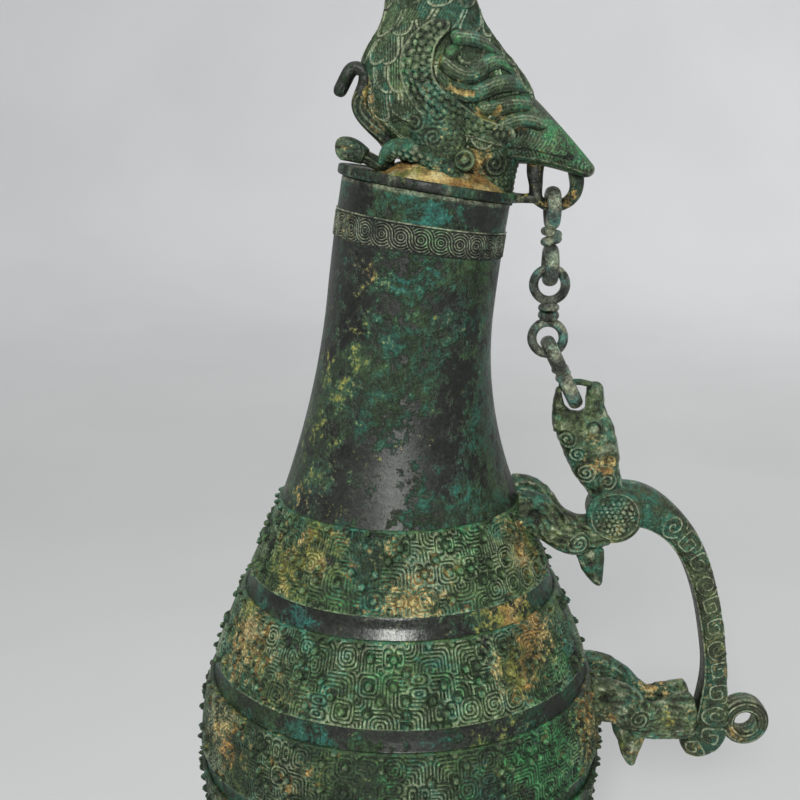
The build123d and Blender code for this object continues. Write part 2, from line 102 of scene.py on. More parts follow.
WING_HOLLOWS = [[(4.2, 47), (2.9, 42.9), (3.8, 38.4), (6.7, 35.3), (11.3, 33.2), (15, 33)],
                [(16.4, 27.4), (19, 25), (22.4, 25.4), (24.6, 28)]]
THIGH = [(3, 15, 31, 8.5, 4), (3.5, 18.8, 22, 9.5, 5), (6, 19.2, 12, 7.5, 5), (7, 18.8, 0, 5, 4.5)]
BIRD_FOOT = [(11, 19, 8.5, 4.4, 4.2), (4, 19, 11, 4, 4.4), (-3, 18.4, 13, 3.7, 4.4),
             (-11, 16.4, 14.4, 3.3, 4), (-16, 15, 10, 1.8, 2.6)]
SNAKE = [(-31, 5.2, 14.4), (-20, 6.8, 10.2), (-14.5, 10.0, 8.6), (-13.4, 10.6, 13.0), (-16.8, 10.4, 19.8),
         (-24.0, 8.6, 30.0), (-22.2, 7.8, 37.2), (-23.0, 7.6, 41.4), (-26.0, 7.6, 42.0), (-28.6, 7.6, 39.0),
         (-32.0, 7.6, 32.4)]
CHAIN_TOP = (MOUTH_X + 46.1, MOUTH_Z - 1.2)
LINK_ENDS = [((55.711, 304.868), (55.427, 272.273)), ((55.466, 276.773), (55.189, 244.974)),
             ((55.228, 249.474), (66.532, 226.0))]
LINK_WIRE, LINK_LOOP = 2.1, 5.9

# Beast: x, distance from the middle, z, half height, half width
BACK = [(79, 0, 186, 8.5, 7.5), (90, 0, 186, 8.5, 7.2), (101, 0, 181, 6.8, 6.5), (110, 0, 172, 5.6, 6),
        (116.5, 0, 159.5, 5, 6), (120.6, 0, 146, 4.7, 6), (123.6, 0, 131, 4.7, 6), (125.2, 0, 116, 4.8, 6.2),
        (125, 0, 103, 6.2, 6.8), (124.4, 0, 93.5, 7.4, 7.2), (120.6, 0, 86, 6.2, 6.2),
        (113.4, 0, 86.6, 3.4, 4.4)]
DISC_CENTRE, DISC_HALF = (81.83, 183.3), 8.5
SKULL = [(184, 76.5, 88, 6.8), (191.4, 71.7, 86.6, 7.2), (199.4, 66, 84.3, 8.2), (207.3, 62.3, 83.4, 8.6),
         (214, 59.5, 82, 7.6), (219, 58.3, 80.6, 5.2), (222, 57.9, 78.3, 3.4)]
JAW = [(61.3, 0, 216, 3.2, 3.3), (59.4, 0, 223.5, 1.7, 2.9), (60.3, 0, 232.3, 1.2, 2.2)]
SNOUT = [(75.1, 0, 217, 5, 3.4), (73.9, 0, 225.5, 3.7, 3.4), (73.7, 0, 234.2, 3.1, 2.9)]
MOUTH_BAR = [(59.93, 0, 232.4, 1.2, 1.2), (66.83, 0, 234, 1.2, 1.2), (73.73, 0, 232.4, 1.2, 1.2)]
FRONT_LEG = [(81, 3.2, 178, 6, 4.2), (74, 4.6, 174.5, 5.8, 4), (66, 8, 174, 5.8, 4.2),
             (59, 9.5, 178.5, 6.2, 4.5), (49.6, 11, 186, 8, 5.4), (43.4, 11.5, 186.5, 7.6, 5.2)]
ELBOW = [(73, 6, 171, 5.4, 3.4), (74.4, 6, 162.5, 4.4, 3), (77.3, 6, 154.6, 1, 1.2)]
HIND_LEG = [(118, 5.6, 100, 9.6, 4.4), (108, 6.6, 99, 9, 4.2), (97.8, 8.2, 99, 7.4, 4.2),
            (89.7, 10, 104.8, 7.9, 4.6), (79.3, 12, 109.6, 8.9, 5.6), (73.4, 12.5, 110, 8.6, 5.4)]
HOCK = [(92.6, 8.2, 95, 5.6, 3.4), (91.5, 8.2, 86.6, 4.2, 3), (92.7, 8.2, 79, 1, 1.2)]
LOOP_CENTRE, LOOP_OUTER, LOOP_EYE, LOOP_HALF = (138.14, 95.4), 9.7, 4.0, 5.0
SIDES = (("left", -1.0), ("right", 1.0))

# Stage: the floor's flat reach, the quarter round at its edge and the wall above it, in millimetres. The
# camera's place in metres, how far it looks down in degrees, its lens and its sensor in millimetres.
FLOOR_FLAT, FLOOR_ROUND, FLOOR_WALL = 1500.0, 700.0, 60.0
CAMERA_PLACE, CAMERA_DOWN, CAMERA_LENS, CAMERA_SENSOR = (0.0, -0.443, 0.329), 12.97, 54.0, 36.0

# Clouds of noise in the bronze: scale, detail, roughness
CLOUDS = [(22.0, 3.0, 0.6), (75.0, 4.0, 0.65), (320.0, 4.0, 0.7), (950.0, 3.0, 0.75), (48.0, 4.0, 0.65),
          (130.0, 4.0, 0.7)]

# Where earth, bright green and bare metal gather on the wall: climb, degrees round, radius, amount.
# Zero degrees is the handle's side and -90 the left.
WALL_EARTH = [(276, -118, 14, 0.32), (240, -142, 22, 0.4), (216, -150, 18, 0.42), (196, -146, 16, 0.45),
              (157, -48, 16, 1.0), (122, -60, 14, 0.5), (262, -70, 8, 0.3), (200, 60, 24, 0.5),
              (240, 130, 26, 0.5), (124, 100, 20, 0.6), (157, 170, 20, 0.6)]
WALL_BRIGHT = [(299, -86, 13, 0.75), (281, -78, 8, 0.75), (276, -100, 9, 0.55), (262, -110, 10, 0.35),
               (157, -128, 12, 0.75), (157, -66, 9, 0.5), (122, -112, 12, 0.7), (123, -80, 9, 0.55),
               (205, -62, 12, 0.4), (226, -112, 12, 0.3), (58, -60, 30, 0.6), (40, -120, 26, 0.5),
               (230, 60, 20, 0.5), (290, 90, 16, 0.6), (157, 80, 20, 0.6)]
WALL_BARE = [(208, -104, 20, 0.3), (225, -80, 22, 0.35), (262, -150, 30, 0.5), (158, -90, 30, 1.0),
             (123, -92, 24, 0.4), (250, -80, 26, 0.5), (300, -140, 18, 0.7), (300, -50, 14, 0.7),
             (250, 90, 34, 0.7), (158, 110, 30, 0.8), (30, 90, 30, 0.5)]
BAND_EARTH = [(180, -128, 11, 0.95), (172, -140, 13, 0.8), (176, -30, 13, 1.0), (168, -84, 15, 0.85),
              (183, -96, 8, 0.4), (146, -148, 18, 0.95), (150, -40, 15, 1.0), (140, -52, 12, 0.9),
              (134, -128, 12, 0.6), (112, -150, 20, 0.8), (104, -118, 14, 0.5), (110, -22, 18, 0.9),
              (78, -140, 22, 0.7), (176, 40, 20, 0.9), (142, 100, 24, 0.9), (108, 150, 26, 0.9),
              (74, 60, 24, 0.8), (176, 150, 18, 0.8)]
BAND_BRIGHT = [(184, -62, 12, 0.75), (170, -110, 10, 0.4), (147, -92, 14, 0.6), (140, -70, 14, 0.6),
               (138, -34, 12, 0.85), (104, -44, 30, 0.95), (110, -96, 18, 0.45), (76, -60, 34, 0.9),
               (80, -110, 22, 0.6), (150, -120, 9, 0.5), (176, 90, 24, 0.7), (142, 40, 22, 0.7),
               (106, 100, 28, 0.8), (74, 130, 30, 0.8), (140, 170, 20, 0.6)]


def fade(value, low, high):
    """Smooth step from 0 at low to 1 at high: three t squared less two t cubed."""
    t = np.clip((value - low) / (high - low), 0.0, 1.0)
    return t * t * (3.0 - 2.0 * t)


def dome(square):
    """Half ball over the squared distance from its middle: the root of one less the square, 0 outside."""
    return np.sqrt(np.clip(1.0 - square, 0.0, 1.0))


def bell(distance):
    """Bell curve: e to the power of less the distance squared."""
    return np.exp(-(distance**2))


def full_turn(count):
    """Angles spaced evenly over a full turn."""
    return np.linspace(0.0, 2.0 * np.pi, count, endpoint=False)


def unit(vectors):
    """Each vector over its own length."""
    return vectors / np.maximum(np.linalg.norm(vectors, axis=-1, keepdims=True), 1e-9)


def spline(keys, values, at):
    """Natural cubic through rows of values at their keys, read at other keys."""
    keys, values, at = np.asarray(keys, float), np.asarray(values, float), np.asarray(at, float)
    gap = np.diff(keys)
    count = len(keys)
    system = np.eye(count)
    inner = np.arange(1, count - 1)
    system[inner, inner - 1] = gap[:-1]
    system[inner, inner] = 2.0 * (gap[:-1] + gap[1:])
    system[inner, inner + 1] = gap[1:]
    slope = np.diff(values, axis=0) / gap[:, None]
    pull = np.zeros_like(values)
    pull[1:-1] = 6.0 * np.diff(slope, axis=0)
    bend = np.linalg.solve(system, pull)
    k = np.clip(np.searchsorted(keys, at, "right") - 1, 0, count - 2)
    t = (at - keys[k])[:, None]
    h = gap[k][:, None]
    return (values[k] + t * (slope[k] - h * (2.0 * bend[k] + bend[k + 1]) / 6.0)
            + t**2 * bend[k] / 2.0 + t**3 * (bend[k + 1] - bend[k]) / (6.0 * h))


def chord(points):
    """Running length along a row of points."""
    steps = np.linalg.norm(np.diff(np.asarray(points, float), axis=0), axis=1)
    return np.concatenate([[0.0], np.cumsum(steps)])


def oval(turn, square):
    """Cosine and sine of a turn, swollen to a rounded square by taking them to the power two over square."""
    c, d = np.cos(turn), np.sin(turn)
    return np.sign(c) * np.abs(c) ** (2.0 / square), np.sign(d) * np.abs(d) ** (2.0 / square)


def ripple(*coordinates, seed, low, high, waves=18):
    """Even bumps, mostly between -1 and 1: plane cosines with seeded directions, wave numbers and phases,
    summed and divided by the root of their count."""
    rng = np.random.default_rng(seed)
    total = 0.0
    for _ in range(waves):
        way = unit(rng.normal(size=len(coordinates))) * rng.uniform(low, high)
        total = total + np.cos(sum(w * c for w, c in zip(way, coordinates)) + rng.uniform(0.0, 2.0 * np.pi))
    return total / math.sqrt(waves)


def uneven(points, **settings):
    """Even bumps at points in space."""
    return ripple(*np.moveaxis(points, -1, 0), **settings)


def lines(distance, pitch):
    """Even ridges: half of one plus the cosine of the distance in pitches."""
    return 0.5 + 0.5 * np.cos(2.0 * np.pi * distance / pitch)


def rounded(x, y, power):
    """Distance from the middle in rounded squares: the power sum of x and y, to one over the power."""
    return (np.abs(x) ** power + np.abs(y) ** power) ** (1.0 / power)


def whorl(x, y, pitch, power=2.0, hand=1.0):
    """Spiral ridges: even ridges of the distance from the middle, one pitch further out for each turn."""
    turn = np.arctan2(y, x) / (2.0 * np.pi)
    return lines(rounded(x, y, power) - hand * turn * pitch, pitch)


def granules(a, b, pitch):
    """Close-set grains: half balls on a triangular lattice."""
    row = np.round(b / (0.866 * pitch))
    across = a / pitch - 0.5 * np.mod(row, 2.0)
    across = (across - np.round(across)) * pitch
    up = b - row * 0.866 * pitch
    return dome((across**2 + up**2) / (0.5 * pitch) ** 2)


def feathers(a, h, width, step, rib):
    """Overlapping U-shaped feathers that point down: in rows a step apart, every other row moved by half a
    width, each point takes the highest row whose feather covers it, with upright ribs inside a smooth rim."""
    radius = 0.5 * width
    top = np.floor((h + radius) / step)
    value = np.zeros_like(h)
    free = np.ones(h.shape, bool)
    for lower in range(3):
        row = top - lower
        shift = 0.5 * np.mod(row, 2.0)
        off = a - (np.round(a / width - shift) + shift) * width
        drop = np.minimum(h - row * step, 0.0)
        d = np.hypot(off, drop) / radius
        inside = free & (d < 1.0)
        vane = 0.16 + 0.56 * lines(off, rib) - 0.15 * drop / radius
        rim = 0.92 * (1.0 - fade(d, 0.93, 1.0))
        value = np.where(inside, np.where(d > 0.8, rim, vane), value)
        free &= ~inside
    return value


def beside(path, x, z, samples=70):
    """Where points lie beside a smooth path: the length along it to the nearest place on it, and the distance
    from that place, signed by the side."""
    keys = chord(path)
    run = np.linspace(0.0, keys[-1], samples)
    line = spline(keys, path, run)
    way = unit(np.gradient(line, run, axis=0))
    gap = np.hypot(x[..., None] - line[:, 0], z[..., None] - line[:, 1])
    nearest = np.argmin(gap, axis=-1)
    distance = np.take_along_axis(gap, nearest[..., None], axis=-1)[..., 0]
    hand = way[nearest, 0] * (z - line[nearest, 1]) - way[nearest, 1] * (x - line[nearest, 0])
    return run[nearest], np.sign(hand) * distance


def belly_radius(z):
    """Outer radius below the shoulder: an ellipse to the widest ring, then a cubic to the neck's slope."""
    half = (BELLY_HEIGHT - FOOT_HEIGHT) / math.sqrt(1.0 - (BASE_RADIUS / BELLY_RADIUS) ** 2)
    low = BELLY_RADIUS * dome(((BELLY_HEIGHT - z) / half) ** 2)
    span = SHOULDER_HEIGHT - BELLY_HEIGHT
    slope = -2.0 * (SHOULDER_RADIUS - NECK_RADIUS) / NECK_FLARE * span
    t = (z - BELLY_HEIGHT) / span
    ease = 3 * t**2 - 2 * t**3
    high = (2 * t**3 - 3 * t**2 + 1) * BELLY_RADIUS + ease * SHOULDER_RADIUS + (t**3 - t**2) * slope
    return np.where(z < BELLY_HEIGHT, low, high)


def wall_point(climb, angle, out=0.0):
    """Point outside the vessel's wall. climb is the height up to the shoulder and then goes on along the
    neck's bent axis; the ring there has the wall's radius plus out, and lies square to the axis."""
    climb, angle, out = np.broadcast_arrays(np.asarray(climb, float), angle, out)
    along = np.maximum(climb - SHOULDER_HEIGHT, 0.0)
    lean = along / NECK_BEND
    flare = np.clip(1.0 - along / NECK_FLARE, 0.0, 1.0) ** 2
    neck = NECK_RADIUS + (SHOULDER_RADIUS - NECK_RADIUS) * flare
    radius = np.where(climb <= SHOULDER_HEIGHT, belly_radius(climb), neck) + out
    height = np.where(climb <= SHOULDER_HEIGHT, climb, SHOULDER_HEIGHT + NECK_BEND * np.sin(lean))
    side = radius * np.cos(angle)
    return np.stack([NECK_BEND * (1.0 - np.cos(lean)) + side * np.cos(lean), radius * np.sin(angle),
                     height - side * np.sin(lean)], axis=-1)


def lid_point(radius, angle, up):
    """Point in the lid's own tilted frame: radius and angle round the mouth's axis, up along it."""
    side = radius * np.cos(angle)
    x = MOUTH_X + side * math.cos(NECK_TILT) + up * math.sin(NECK_TILT)
    z = MOUTH_Z - side * math.sin(NECK_TILT) + up * math.cos(NECK_TILT)
    return np.stack([x, radius * np.sin(angle) + 0.0 * up, z], axis=-1)


def spots(points, places):
    """Soft spots: for each place, given by x, y, z, radius and amount, the amount times the bell curve of the
    distance over the radius, and the largest one at every point."""
    total = np.zeros(points.shape[:-1])
    for x, y, z, radius, amount in places:
        away = np.sum((points - (x, y, z)) ** 2, axis=-1)
        total = np.maximum(total, amount * np.exp(-away / radius**2))
    return total


def gather(points, places):
    """Soft spots at places on the wall, given by climb, degrees round it, radius and amount."""
    on_wall = [(*wall_point(climb, math.radians(degrees)), *rest) for climb, degrees, *rest in places]
    return spots(points, on_wall)


class Skin:
    """Closed surface: points in millimetres, faces of four and of three, and four patina values for each
    point:
    earth, bright green, bare metal, and relief from 0 in a hollow to 1 on a ridge. The finish paints low
    relief dark as shade and high relief pale, partly as a painted sheen."""

    def __init__(self, points, quads, fans, patina):
        self.points, self.quads, self.fans, self.patina = points, quads, fans, patina
        corners = np.concatenate([quads[:, (0, 1, 2)], quads[:, (0, 2, 3)], fans])
        a, b, c = (points[corners[:, i]] - points.mean(axis=0) for i in range(3))
        if np.sum(a * np.cross(b, c)) < 0.0:
            self.quads, self.fans = quads[:, ::-1], fans[:, ::-1]


def tube(loops, relief=0.5, ring=False, poles=None, earth=0.0, bright=0.0, bare=0.0):
    """Surface over closed loops of points. Neighbours in a loop wrap round, loops follow one another, and the
    two ends are closed by fans to the poles, or to the mean of each end loop, or meet each other where ring
    is true. Earth, bright and bare are numbers, arrays or functions of the points."""
    count, around = loops.shape[:2]
    index = np.arange(count * around).reshape(count, around)
    beside = np.roll(index, -1, axis=1)
    ahead = np.roll(index, -1, axis=0)
    ahead_beside = np.roll(beside, -1, axis=0)
    rows = count if ring else count - 1
    quads = np.stack([index[:rows], beside[:rows], ahead_beside[:rows], ahead[:rows]], axis=-1).reshape(-1, 4)
    layers = [layer(loops) if callable(layer) else layer for layer in (earth, bright, bare, relief)]
    layers = [np.broadcast_to(np.asarray(layer, float), (count, around)) for layer in layers]
    patina = np.stack(layers, axis=-1).reshape(-1, 4)
    points = loops.reshape(-1, 3)
    fans = np.zeros((0, 3), int)
    if not ring:
        poles = loops[[0, -1]].mean(axis=1) if poles is None else poles
        pole_patina = np.stack([patina[:around].mean(axis=0), patina[-around:].mean(axis=0)])
        first, last = np.full(around, len(points)), np.full(around, len(points) + 1)
        fans = np.concatenate([np.stack([beside[0], index[0], first], axis=-1),
                               np.stack([index[-1], beside[-1], last], axis=-1)])
        points = np.concatenate([points, poles])
        patina = np.concatenate([patina, pole_patina])
    return Skin(points, quads, fans, patina)


class Place:
    """Where the points of a limb or stack are, in millimetres: on a limb s along it, v and w across its
    height and width, its length and half sizes; on a stack x and z; on both the girth as a length round it,
    and the points themselves."""

    def __init__(self, **arrays):
        self.__dict__.update(arrays)


def limb(line, stations, around, pattern=None, side=1.0, square=2.2, ends=(0.0, 0.0), origin=(0.0, 0.0),
         **patina):
    """Ovals carried square to a smooth line of points, each with half height and half width. Each end is
    domed over the given length, and pattern gives how far each point stands out and its relief."""
    line = np.asarray(line, float)
    middle = line[:, :3] * (1.0, side, 1.0) + (origin[0], 0.0, origin[1])
    keys = chord(middle)
    s = np.linspace(0.0, keys[-1], stations)
    row = spline(keys, np.hstack([middle, line[:, 3:]]), s)
    along = unit(np.gradient(row[:, :3], s, axis=0))
    across = unit(np.cross((0.0, 1.0, 0.0), along))
    wide = np.cross(along, across)
    shrink = np.ones(stations)
    for length, run in zip(ends, (s, keys[-1] - s)):
        if length > 0.0:
            short = 1.0 - np.clip(run / length, 0.0, 1.0)
            shrink = shrink * np.sqrt(np.clip(1.0 - short**2, 0.003, 1.0))
    half = np.maximum(row[:, 3:], 0.05) * shrink[:, None]
    turn = full_turn(around)
    c, d = oval(turn, square)
    v, w = half[:, :1] * c, half[:, 1:] * d
    points = row[:, None, :3] + across[:, None] * v[..., None] + wide[:, None] * w[..., None]
    relief = 0.5
    if pattern:
        normal = across[:, None] * (c / half[:, :1])[..., None] + wide[:, None] * (d / half[:, 1:])[..., None]
        girth = turn * (half.mean(axis=1, keepdims=True))
        place = Place(s=s[:, None] + 0.0 * v, v=v, w=w, girth=girth, points=points, length=keys[-1],
                      half=half[:, None, :])
        out, relief = pattern(place)
        points = points + unit(normal) * (out * shrink[:, None])[..., None]
    return tube(points, relief, **patina)


def stack(sections, stations, around, pattern=None, square=2.0, origin=(0.0, 0.0), **patina):
    """Level ovals between front and back, joined smoothly up their heights, with a pattern as on a limb."""
    sections = np.asarray(sections, float)
    z = np.linspace(sections[0, 0], sections[-1, 0], stations)
    row = spline(sections[:, 0], sections[:, 1:], z)
    turn = full_turn(around)
    c, d = oval(turn, square)
    deep, wide = 0.5 * (row[:, 1:2] - row[:, :1]), row[:, 2:3]
    x = 0.5 * (row[:, 1:2] + row[:, :1]) + deep * c + origin[0]
    points = np.stack([x, wide * d, z[:, None] + origin[1] + 0.0 * x], axis=-1)
    relief = 0.5
    if pattern:
        flat = unit(np.stack([c / deep, d / wide, 0.0 * x], axis=-1))
        place = Place(x=x - origin[0], z=z[:, None] + 0.0 * x, points=points,
                      girth=(turn - np.pi) * 0.5 * (deep + wide))
        out, relief = pattern(place)
        points = points + flat * out[..., None]
    return tube(points, relief, **patina)


def closed_edge(outline, count):
    """Smooth closed line through the outline's points: a cubic over three rounds, read on the middle one."""
    outline = np.asarray(outline, float)
    rounds = np.concatenate([outline, outline, outline, outline[:1]])
    keys = chord(rounds)
    start, end = keys[len(outline)], keys[2 * len(outline)]
    return spline(keys, rounds, np.linspace(start, end, count, endpoint=False))


def circle(x, z, radius):
    """Twelve points of a circle."""
    return [(x + radius * math.cos(t), z + radius * math.sin(t)) for t in full_turn(12)]


def plate(outline, rings, around, surface, thickness, side, pattern=None, origin=(0.0, 0.0), sink=0.8,
          edge=0.14, **patina):
    """Raised plate on a side face: rings shrunk from a smooth outline to its middle, standing off the side
    surface by the thickness, which rounds down to below the surface at the outline."""
    rim = closed_edge(outline, around)
    middle = rim.mean(axis=0)
    r = np.linspace(0.01, 1.0, rings)
    flat = middle + (rim - middle)[None] * r[:, None, None]
    x, z = flat[..., 0], flat[..., 1]
    rise = dome((1.0 - np.clip((1.0 - r) / edge, 0.0, 1.0)) ** 2)[:, None]
    out, relief = pattern(x, z) if pattern else (0.0 * x, 0.5)
    y = surface(x, z) + rise * (thickness + out + sink) - sink
    points = np.stack([x + origin[0], side * y, z + origin[1]], axis=-1)
    return tube(points, relief, **patina)


def turned(profile, around, place, pattern=None, **patina):
    """Profile of radius and height turned round an axis; place puts radius, angle and height in the frame."""
    profile = np.asarray(profile, float)
    angle = full_turn(around)
    radius, up = profile[:, :1] + 0.0 * angle, profile[:, 1:] + 0.0 * angle
    relief = 0.5
    if pattern:
        out, relief = pattern(radius, angle + 0.0 * radius, up)
        up = up + out
    points = place(radius, angle, up)
    return tube(points, relief, **patina)


def hoop(centre, first, second, radius, half_out, half_side, along, around, square=2.0, pattern=None,
         **patina):
    """Ring of oval section: along its round in the plane of two directions, half_out thick that way and
    half_side thick square to the plane."""
    first, second = np.asarray(first, float), np.asarray(second, float)
    t = np.linspace(0.0, 2.0 * np.pi, along, endpoint=False)
    out_way = np.cos(t)[:, None] * first + np.sin(t)[:, None] * second
    side_way = np.cross(first, second)
    turn = full_turn(around)
    c, d = oval(turn, square)
    v, w = half_out * c + 0.0 * t[:, None], half_side * d + 0.0 * t[:, None]
    relief = 0.5
    if pattern:
        out, relief = pattern(t[:, None] + 0.0 * v, v, w, turn + 0.0 * v)
        v, w = v + out * c, w + out * d
    points = np.asarray(centre, float) + out_way[:, None] * (radius + v)[..., None]
    points = points + side_way * w[..., None]
    return tube(points, relief, ring=True, **patina)


def make_piece(name, skins, body, nodes, material):
    """Joins skins into one mesh object at the origin that rides on a body and hides the named nodes."""
    starts = np.cumsum([0] + [len(skin.points) for skin in skins])
    points = np.concatenate([skin.points for skin in skins]) * MM
    quads = np.concatenate([skin.quads + start for skin, start in zip(skins, starts)])
    fans = np.concatenate([skin.fans + start for skin, start in zip(skins, starts)])
    patina = np.concatenate([skin.patina for skin in skins])
    corners = np.concatenate([quads.ravel(), fans.ravel()])
    first = np.concatenate([4 * np.arange(len(quads)), 4 * len(quads) + 3 * np.arange(len(fans))])
    mesh = bpy.data.meshes.new(name)
    mesh.vertices.add(len(points))
    mesh.vertices.foreach_set("co", points.astype(np.float32).ravel())
    mesh.loops.add(len(corners))
    mesh.loops.foreach_set("vertex_index", corners.astype(np.int32))
    mesh.polygons.add(len(first))
    mesh.polygons.foreach_set("loop_start", first.astype(np.int32))
    mesh.polygons.foreach_set("use_smooth", np.arange(len(first)) < len(quads))
    mesh.update(calc_edges=True)
    if mesh.validate():
        raise RuntimeError(name + ": the mesh has broken faces")
    layer = mesh.color_attributes.new("patina", "FLOAT_COLOR", "POINT")
    layer.data.foreach_set("color", np.clip(patina, 0.0, 1.0).astype(np.float32).ravel())
    mesh.materials.append(material)
    piece = bpy.data.objects.new(name, mesh)
    bpy.context.scene.collection.objects.link(piece)
    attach(piece, body)
    if nodes:
        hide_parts(*nodes)
    return piece


COLOUR = dict(subtype="COLOR", size=3, min=0.0, max=1.0)


class FinishSettings(bpy.types.PropertyGroup):
    """Colours of the bronze and of what has grown on it."""

    metal: bpy.props.FloatVectorProperty(name="Bare bronze", description="Colour of the polished dark metal",
                                         default=(0.017, 0.02, 0.015), **COLOUR)
    patina: bpy.props.FloatVectorProperty(name="Green patina", description="Colour of the dark green skin",
                                          default=(0.032, 0.066, 0.022), **COLOUR)
    teal: bpy.props.FloatVectorProperty(name="Teal patina",
                                        description="Colour of the bluer patches of the skin",
                                        default=(0.014, 0.072, 0.046), **COLOUR)
    malachite: bpy.props.FloatVectorProperty(name="Malachite", description="Colour of the bright green crust",
                                             default=(0.03, 0.16, 0.05), **COLOUR)
    ochre: bpy.props.FloatVectorProperty(name="Ochre earth",
                                         description="Colour of the pale earth in the recesses",
                                         default=(0.37, 0.275, 0.1), **COLOUR)
    rust: bpy.props.FloatVectorProperty(name="Rusty earth", description="Colour of the redder earth",
                                        default=(0.27, 0.155, 0.042), **COLOUR)
    moss: bpy.props.FloatVectorProperty(name="Mossy earth", description="Colour of the yellow-green earth",
                                        default=(0.17, 0.165, 0.034), **COLOUR)
    # Pale colour of high relief: rubbed bronze, and partly a painted sheen on the crests.
    worn_and_sheen: bpy.props.FloatVectorProperty(name="Worn ridges",
                                        description="Colour of ridges that hands have rubbed",
                                        default=(0.29, 0.31, 0.2), **COLOUR)


class OrnamentSettings(bpy.types.PropertyGroup):
    """Depths and pitches of the cast ornament."""

    line_depth: bpy.props.FloatProperty(name="Band line depth",
                                        description="Height of the lines in the belly bands", unit="LENGTH",
                                        default=0.0006, min=0.0, max=0.001)
    nipple_height: bpy.props.FloatProperty(name="Nipple height",
                                           description="Height of the round nipples in the bands",
                                           unit="LENGTH", default=0.0018, min=0.0, max=0.002)
    cell_size: bpy.props.FloatProperty(name="Band cell", description="Width of one figure of the belly bands",
                                       unit="LENGTH", default=0.0085, min=0.004, max=0.012)
    rope_depth: bpy.props.FloatProperty(name="Rope band depth",
                                        description="Height of the lines in the rope band", unit="LENGTH",
                                        default=0.0005, min=0.0, max=0.001)
    feather_depth: bpy.props.FloatProperty(name="Feather depth", description="Height of the bird's feathers",
                                           unit="LENGTH", default=0.0011, min=0.0, max=0.002)
    scroll_depth: bpy.props.FloatProperty(name="Scroll depth",
                                          description="Height of the scrolls on the handle", unit="LENGTH",
                                          default=0.0005, min=0.0, max=0.001)


class StageSettings(bpy.types.PropertyGroup):
    """Ground, lamps and camera."""

    floor: bpy.props.FloatVectorProperty(name="Floor", description="Colour of the floor",
                                         default=(0.5, 0.51, 0.505), **COLOUR)
    backdrop: bpy.props.FloatVectorProperty(name="Backdrop", description="Colour of the floor's rising edge",
                                            default=(0.74, 0.745, 0.755), **COLOUR)
    key_power: bpy.props.FloatProperty(name="Key lamp", description="Power of the lamp beside the camera",
                                       unit="POWER", default=9.0, min=0.0, max=100.0)
    side_power: bpy.props.FloatProperty(name="Side lamp", description="Power of the soft lamp on the left",
                                        unit="POWER", default=5.0, min=0.0, max=200.0)
    top_power: bpy.props.FloatProperty(name="Top lamp", description="Power of the broad lamp overhead",
                                       unit="POWER", default=24.0, min=0.0, max=200.0)
    sky: bpy.props.FloatProperty(name="Sky strength", description="Strength of the even light from above",
                                 default=0.34, min=0.0, max=5.0)


class Weave:
    """Adds shader nodes to a material and links them."""

    def __init__(self, name):
        self.material = bpy.data.materials.new(name)
        self.material.use_nodes = True
        self.tree = self.material.node_tree
        self.shader = self.tree.nodes["Principled BSDF"]
        self.where = self.tree.nodes.new("ShaderNodeTexCoord").outputs["Object"]

    def put(self, value, socket):
        if isinstance(value, bpy.types.NodeSocket):
            self.tree.links.new(value, socket)
        elif isinstance(value, tuple):
            socket.default_value = (*value, 1.0)
        else:
            socket.default_value = value

    def node(self, kind, inputs, output=0, **settings):
        """One output of a new node of a kind, with its settings and its inputs by name or number."""
        node = self.tree.nodes.new("ShaderNode" + kind)
        for key, value in settings.items():
            setattr(node, key, value)
        for key, value in inputs.items():
            self.put(value, node.inputs[key])
        return node.outputs[output]

    def cloud(self, scale, detail, roughness, seed):
        """Noise whose common values, about 0.3 to 0.7, are stretched to 0 to 1."""
        inputs = {"Vector": self.where, "W": seed, "Scale": scale, "Detail": detail, "Roughness": roughness}
        return self.step(self.node("TexNoise", inputs, "Fac", noise_dimensions="4D"), 0.29, 0.71)

    def step(self, value, low, high, start=0.0, end=1.0):
        inputs = dict(enumerate((value, low, high, start, end)))
        return self.node("MapRange", inputs, interpolation_type="SMOOTHSTEP")

    def math(self, kind, first, second=0.0):
        return self.node("Math", {0: first, 1: second}, operation=kind)

    def times(self, first, second):
        return self.math("MULTIPLY", first, second)

    def total(self, *terms):
        """Sum of values, each times its weight."""
        result = 0.0
        for value, weight in terms:
            result = self.math("ADD", self.times(value, weight), result)
        return result

    def mix(self, amount, first, second):
        """Colour between two colours."""
        return self.node("Mix", {0: amount, 6: first, 7: second}, 2, data_type="RGBA")

    def scaled(self, colour, factor):
        return self.node("VectorMath", {0: colour, "Scale": factor}, operation="SCALE")

    def between(self, amount, first, second):
        """Number between two numbers."""
        return self.node("Mix", {0: amount, 2: first, 3: second})


def shade(colour, factor):
    """Colour times a factor, as a plain tuple."""
    return tuple(float(min(1.0, channel * factor)) for channel in colour)


